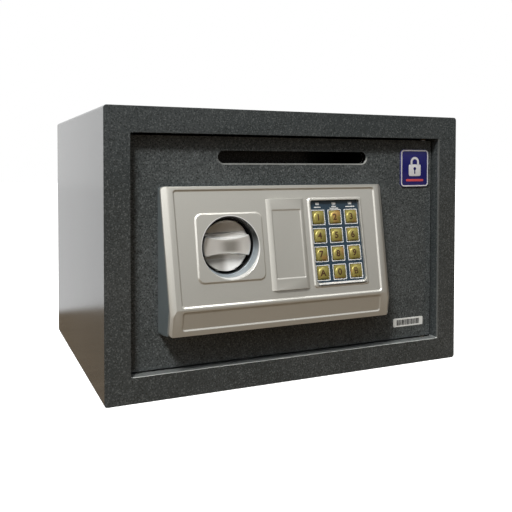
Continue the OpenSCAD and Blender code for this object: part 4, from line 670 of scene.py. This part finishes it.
# Badge: a plate of clear resin over a plain blue print, with a silver rim, glued to the door.
# The sign on it is an ordinary padlock with a red bar below.
BADGE_R = 3.5 * MM
RIM_IN = 0.7 * MM
RIM_W = 1.0 * MM
enamel = Finish("badge_enamel", Coat_Weight=1.0, Coat_Roughness=0.04, Specular_IOR_Level=0.5)
enamel.drift(enamel.grain(12 * MM), tint(0.004, 0.004, 0.10), tint(0.008, 0.008, 0.15), 0.2, 0.1)
rim_ink = Finish("badge_silver", Metallic=0.3, Coat_Weight=1.0, Coat_Roughness=0.05)
rim_ink.drift(rim_ink.grain(0.4 * MM), tint(0.84, 0.84, 0.88), tint(0.94, 0.94, 0.97), 0.25, 0.1)
red_ink = Finish("badge_red", Coat_Weight=1.0, Coat_Roughness=0.05)
red_ink.drift(red_ink.grain(0.6 * MM), tint(0.60, 0.05, 0.06), tint(0.74, 0.10, 0.11), 0.25, 0.1)

badge_low, badge_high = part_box("badge")
badge_w = badge_high.x - badge_low.x
badge_t = badge_high.y - badge_low.y
badge_h = badge_high.z - badge_low.z
upright = Matrix.Rotation(math.pi / 2, 4, "X")
badge_at = (shift((badge_low.x + badge_high.x) / 2, badge_high.y, (badge_low.z + badge_high.z) / 2)
            @ upright)
badge_mesh = tablet("badge_plate", badge_w, badge_h, BADGE_R, badge_t - 0.1 * MM, 0.7 * MM, badge_at)
badge = piece("badge_plate", badge_mesh, "door", enamel)
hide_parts("badge")

badge_top = badge_at @ shift(0, 0, badge_t - 0.12 * MM)
rim_outer = rounded(badge_w - 2 * RIM_IN, badge_h - 2 * RIM_IN, BADGE_R - 0.5 * MM)
rim_inner = rounded(badge_w - 2 * (RIM_IN + RIM_W), badge_h - 2 * (RIM_IN + RIM_W), BADGE_R - 1.3 * MM)
rim = border("badge_rim", rim_outer, rim_inner, 0.08 * MM, badge_top)
piece("badge_rim", rim, "door", rim_ink)

SHACKLE_R = 4.6 * MM
SHACKLE_W = 2.0 * MM
SHACKLE_LEG = 2.5 * MM
SHACKLE_STEPS = 20
SIGN_T = 0.1 * MM
KEYHOLE_T = 0.14 * MM


def bar(name, outline, low, high, matrix):
    """A straight bar with that outline, from one height to the other."""
    return skin(name, [[(x, y, z) for x, y in outline] for z in (low, high)], matrix)


def arch(radius):
    """A leg, a half circle and the other leg."""
    bend = [(radius * math.cos(math.pi * i / SHACKLE_STEPS), radius * math.sin(math.pi * i / SHACKLE_STEPS))
            for i in range(SHACKLE_STEPS + 1)]
    return [(radius, -SHACKLE_LEG)] + bend + [(-radius, -SHACKLE_LEG)]


shackle = bar("shackle", arch(SHACKLE_R) + arch(SHACKLE_R - SHACKLE_W)[::-1], 0, SIGN_T,
              badge_top @ shift(0, 5.6 * MM))
lock_body = tablet("lock_body", 13 * MM, 10.5 * MM, 1.6 * MM, SIGN_T, 0.03 * MM,
                   badge_top @ shift(0, -1.8 * MM))
piece("badge_padlock", join("badge_padlock", [shackle, lock_body]), "door", rim_ink)
keyhole_eye = bar("keyhole_eye", circle(1.5 * MM, 24), 0, KEYHOLE_T, badge_top @ shift(0, -0.4 * MM))
keyhole_slot = tablet("keyhole_slot", 1.3 * MM, 4.4 * MM, 0.5 * MM, KEYHOLE_T, 0.02 * MM,
                      badge_top @ shift(0, -2.9 * MM))
piece("badge_keyhole", join("badge_keyhole", [keyhole_eye, keyhole_slot]), "door", enamel)
red_bar = tablet("badge_bar", 19 * MM, 2.0 * MM, 0.9 * MM, SIGN_T, 0.03 * MM,
                 badge_top @ shift(0, -10.8 * MM))
piece("badge_bar", red_bar, "door", red_ink)


# Label: a strip of white film, stuck on the bottom right of the door.
# Plain dark stripes of several widths are printed on it.
film = Finish("label_film", Specular_IOR_Level=0.4)
film.drift(film.grain(0.7 * MM, 3.0), tint(0.70, 0.71, 0.69), tint(0.82, 0.83, 0.81), 0.4, 0.2)
dress(film, ["serial_label"])
black_ink = Finish("black_ink", Specular_IOR_Level=0.4)
black_ink.vary("Base Color", black_ink.mix(black_ink.grain(0.4 * MM), tint(0.02, 0.02, 0.02),
                                           tint(0.05, 0.05, 0.05)))
black_ink.vary("Roughness", 0.5 + 0.2 * black_ink.grain(0.6 * MM))

STRIPE_COUNT = 24
STRIPE_HIGH = 4.9 * MM
STRIPE_WIDTHS = (0.45, 1.2, 0.9, 0.45, 0.55)
STRIPE_GAPS = (0.25, 0.4, 0.3)
label_low, label_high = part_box("serial_label")
label_at = shift(label_low.x + 3.4 * MM, label_low.y, (label_low.z + label_high.z) / 2) @ upright
stripes = []
stripe_x = 0.0
for i in range(STRIPE_COUNT):
    width = STRIPE_WIDTHS[i % len(STRIPE_WIDTHS)] * MM
    stripes.append(tablet("stripe", width, STRIPE_HIGH, 0.1 * MM, 0.05 * MM, 0.01 * MM,
                          label_at @ shift(stripe_x + width / 2, 0)))
    stripe_x += width + STRIPE_GAPS[i % len(STRIPE_GAPS)] * MM
piece("label_bars", join("label_bars", stripes), "door", black_ink)


# Screws behind the door: plated pan heads with a cross recess.
# Four hold the panel through the door, and four hold the rear case by its ears.
HEAD_R = 3.7 * MM
HEAD_T = 2.4 * MM
HEAD_POINTS = 48
HEAD_RINGS = 6
SHANK_R = 2 * MM
RECESS_ARM = 0.5 * HEAD_R
RECESS_HALF = 0.11 * HEAD_R
# Rim, chamfer and floor of the recess: its size, and its depth in the head, as shares.
RECESS_FORM = ((1.0, 0.0), (0.92, 0.06), (0.6, 0.55))
LEAST = 1e-6
rearward = Matrix.Rotation(-math.pi / 2, 4, "X")


def cross_reach(angle, arm, half):
    """Distance from the middle to the edge of a cross-shaped recess."""
    across, up = max(abs(math.cos(angle)), LEAST), max(abs(math.sin(angle)), LEAST)
    return max(min(arm / across, half / up), min(arm / up, half / across))


def screw_head(matrix):
    """A rounded head, with its recess narrowing to a blunt floor."""
    angles = [math.tau * i / HEAD_POINTS for i in range(HEAD_POINTS)]
    rings = [[(HEAD_R * math.cos(a), HEAD_R * math.sin(a), 0) for a in angles]]
    for i in range(HEAD_RINGS):
        bend = math.pi / 2 * i / HEAD_RINGS
        away = HEAD_R * (0.55 + 0.45 * math.cos(bend))
        rings.append([(away * math.cos(a), away * math.sin(a), HEAD_T * (0.35 + 0.65 * math.sin(bend)))
                      for a in angles])
    for scale, drop in RECESS_FORM:
        ring = []
        for a in angles:
            reach = scale * cross_reach(a, RECESS_ARM, RECESS_HALF)
            ring.append((reach * math.cos(a), reach * math.sin(a), HEAD_T * (1 - drop)))
        rings.append(ring)
    return skin("head", rings, matrix)


for node in ("panel_screws", "case_screws"):
    low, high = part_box(node)
    screws = []
    for x in (low.x + HEAD_R, high.x - HEAD_R):
        for z in (low.z + HEAD_R, high.z - HEAD_R):
            screw_at = shift(x, high.y - HEAD_T, z) @ rearward
            screws.append(screw_head(screw_at @ Matrix.Rotation(0.4 * len(screws), 4, "Z")))
            screws.append(bar("shank", circle(SHANK_R, 20), low.y - high.y + HEAD_T, 0, screw_at))
    heads = piece(node + "_heads", join(node + "_heads", screws), "door", zinc)
    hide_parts(node)


# Solenoid: a coil of enamelled copper wire in a bent, plated yoke on the door's back.
# Its steel plunger drops, with a spring, into the carriage.
copper = Finish("enamelled_wire", Metallic=0.85)
turns = copper.grain(0.3 * MM, 1.0, (0.05, 0.05, 1))
copper.drift(turns, tint(0.36, 0.13, 0.05), tint(0.62, 0.27, 0.11), 0.25, 0.2)
copper.relief(turns, 0.08 * MM, 0.8)
dress(copper, ["solenoid_coil"])
dress(steel, ["solenoid_plunger"])
dress(zinc, ["solenoid_yoke"], 0.25 * MM, segments=2)
dress(zinc, ["plunger_spring"])


# Rear case: a folded sheet box in the cabinet's coat, over all that is behind the door.
# The battery tray in it is moulded in black, like its lid with ribs to grip and like the switch.
# Four cells in printed sleeves lie in the tray, and the reset button is red.
dress(coat, ["rear_case"], 0.3 * MM, segments=2)
moulded = Finish("black_moulding", Specular_IOR_Level=0.45)
spark = moulded.grain(0.4 * MM)
moulded.vary("Base Color", moulded.mix(moulded.grain(18 * MM, 3.0), tint(0.014, 0.014, 0.016),
                                       tint(0.026, 0.026, 0.028)))
moulded.vary("Roughness", 0.44 + 0.2 * spark)
moulded.relief(spark, 0.04 * MM, 0.5)
dress(moulded, ["battery_tray", "reset_switch"])
dress(moulded, ["battery_lid"], 0.4 * MM)

LID_T = 2.0 * MM
RIDGE_COUNT = 6
RIDGE_FOOT = 5 * MM
RIDGE_PITCH = 2.4 * MM
lid_low, lid_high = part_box("battery_lid")
ridge_x = (lid_low.x + lid_high.x) / 2
ridge_y = lid_low.y + LID_T - 0.05 * MM
ridges = []
for i in range(RIDGE_COUNT):
    ridge_at = shift(ridge_x, ridge_y, lid_low.z + RIDGE_FOOT + RIDGE_PITCH * i) @ rearward
    ridges.append(tablet("ridge", 22 * MM, 1.1 * MM, 0.5 * MM, 0.7 * MM, 0.4 * MM, ridge_at))
piece("lid_grip_ribs", join("lid_grip_ribs", ridges), "lid", moulded)

SLEEVE_TOP = 14 * MM
jacket = Finish("cell_jacket", Metallic=0.3, Specular_IOR_Level=0.5)
sleeve_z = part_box("battery_cells")[1].z - SLEEVE_TOP
top_band = jacket.step(jacket.along(UP), sleeve_z, sleeve_z + 0.4 * MM)
jacket.vary("Base Color", jacket.mix(top_band, tint(0.03, 0.14, 0.07), tint(0.62, 0.60, 0.52)))
jacket.vary("Roughness", 0.3 + 0.1 * jacket.grain(2 * MM))
dress(jacket, ["battery_cells"])

red = Finish("red_button", Specular_IOR_Level=0.5)
red.drift(red.grain(1.5 * MM, 3.0), tint(0.42, 0.018, 0.014), tint(0.55, 0.035, 0.025), 0.28, 0.2)
dress(red, ["reset_button"], 0.5 * MM)


# Stage: a white surround and a plain floor, which the camera sees as white with the safe's soft
# shadow. To bounced light the floor is a dark board, and gloss mirrors it as brown planks near the
# safe, so that the cabinet's side darkens toward its foot.
FLOOR_HALF = 6.0
BOARD_END = 0.21
WHITE = tint(1, 1, 1)
corners = [(-FLOOR_HALF, -FLOOR_HALF, 0), (FLOOR_HALF, -FLOOR_HALF, 0),
           (FLOOR_HALF, FLOOR_HALF, 0), (-FLOOR_HALF, FLOOR_HALF, 0)]
floor_mesh = bpy.data.meshes.new("floor")
floor_mesh.from_pydata(corners, [], [(0, 1, 2, 3)])
floor = bpy.data.objects.new("floor", floor_mesh)
bpy.context.scene.collection.objects.link(floor)


def ray_kinds(finish):
    """Masks: for the camera's rays, for those and the ones through glass, and for what gloss mirrors."""
    rays = finish.tree.nodes.new("ShaderNodeLightPath")
    camera_ray, glossy_ray, clear_ray = (Wire(finish, rays.outputs[name]) for name in
                                         ("Is Camera Ray", "Is Glossy Ray", "Is Transmission Ray"))
    return camera_ray, camera_ray + clear_ray, glossy_ray


ground = Finish("pale_floor", Roughness=0.8, Specular_IOR_Level=0.1)
camera_ray, seen_ray, glossy_ray = ray_kinds(ground)
planks = ground.mix(ground.grain(0.05, 4.0, (1, 4, 1)), tint(0.17, 0.125, 0.082), tint(0.30, 0.23, 0.155))
board_shade = ground.mix(0.55, planks, tint(0.02, 0.016, 0.012))
pale = ground.mix(ground.grain(0.4), tint(0.80, 0.80, 0.80), tint(0.84, 0.84, 0.84))
ground.vary("Base Color", ground.mix(camera_ray, board_shade, pale))
lit = Wire(ground, ground.shader.outputs[0])
far_off = ground.step(ground.length(ground.place()), 0.4, 1.6)
lift_tone = ground.mix(far_off, tint(0.6, 0.6, 0.6), tint(1.1, 1.1, 1.1))
lift = ground.node("Emission", {}, {"Color": lift_tone})
lifted = ground.node("AddShader", {}, {0: lit, 1: lift})
past_board = ground.step(ground.along(DEEP), BOARD_END - 0.02, BOARD_END + 0.03)
mirrored_tone = ground.mix(past_board, planks, WHITE)
mirrored = ground.node("Emission", {}, {"Color": mirrored_tone, "Strength": 0.9})
seen = ground.node("MixShader", {}, {0: seen_ray, 1: lit, 2: lifted})
shown = ground.node("MixShader", {}, {0: glossy_ray, 1: seen, 2: mirrored})
ground.feed(ground.tree.nodes["Material Output"].inputs["Surface"], shown)
floor_mesh.materials.append(ground.material)


class Sky(Finish):
    """The world's node tree, with the same short calls as a finish."""

    def __init__(self, world):
        self.tree = world.node_tree
        self.tree.nodes.clear()
        self.end = self.tree.nodes.new("ShaderNodeOutputWorld")


surround = bpy.data.worlds.new("surround")
bpy.context.scene.world = surround
surround.use_nodes = True
sky = Sky(surround)
seen_ray, glossy_ray = ray_kinds(sky)[1:]
towards = sky.node("TexCoord", {}, {}, "Generated")
height_part = sky.node("SeparateXYZ", {}, {0: towards}, UP)
window_side = sky.node("VectorMath", {"operation": "DOT_PRODUCT"}, {0: towards, 1: (-0.9, 0.43, 0)}, 1)
window = sky.step(window_side, -0.45, 0.20)
above = sky.step(height_part, -0.02, 0.66)
room = sky.mix(above, tint(0.07, 0.068, 0.063), WHITE)
dim = sky.mix(above, tint(0.015, 0.017, 0.02), tint(0.32, 0.33, 0.34))
even = sky.node("Background", {}, {"Color": dim})
white = sky.node("Background", {}, {"Color": WHITE})
around = sky.node("Background", {}, {"Color": sky.mix(window, room, WHITE)})
unlit = sky.node("MixShader", {}, {0: seen_ray, 1: even, 2: white})
whole = sky.node("MixShader", {}, {0: glossy_ray, 1: unlit, 2: around})
sky.feed(sky.end.inputs["Surface"], whole)

AIM = (0, 0, 0.1)


def lamp(name, place, size, power, colour):
    """A rectangular lamp, aimed at the safe."""
    light = bpy.data.lights.new(name, "AREA")
    light.shape = "RECTANGLE"
    light.size, light.size_y = size
    light.energy = power
    light.color = colour
    made = bpy.data.objects.new(name, light)
    made.location = place
    made.rotation_euler = (Vector(AIM) - Vector(place)).to_track_quat("-Z", "Y").to_euler()
    bpy.context.scene.collection.objects.link(made)


lamp("key_lamp", (-0.9, -1.12, 1.72), (0.42, 0.42), 46, (1.0, 0.99, 0.965))
lamp("side_lamp", (-1.7, -0.9, 0.7), (0.9, 0.9), 3, (0.95, 0.97, 1.0))
lamp("ceiling_lamp", (0, 0.15, 1.9), (1.5, 1.1), 32, (1.0, 1.0, 1.0))

SENSOR = 36.0
PICTURE = 512
FOCAL_PIXELS = 660.02
MIDDLE_ROW = 183.07
# In degrees.
LOOK_DOWN = 1.584
LOOK_RIGHT = 24.087
LEAN = 0.097
camera_data = bpy.data.cameras.new("camera")
camera_data.sensor_width = SENSOR
camera_data.lens = FOCAL_PIXELS * SENSOR / PICTURE
camera_data.shift_y = (MIDDLE_ROW - PICTURE / 2) / PICTURE
camera = bpy.data.objects.new("camera", camera_data)
camera.location = (-0.2533, -0.5995, 0.1768)
camera.rotation_euler = (math.radians(90 - LOOK_DOWN), math.radians(-LEAN), math.radians(-LOOK_RIGHT))
bpy.context.scene.collection.objects.link(camera)
bpy.context.scene.camera = camera
bpy.context.scene.view_settings.view_transform = "Standard"
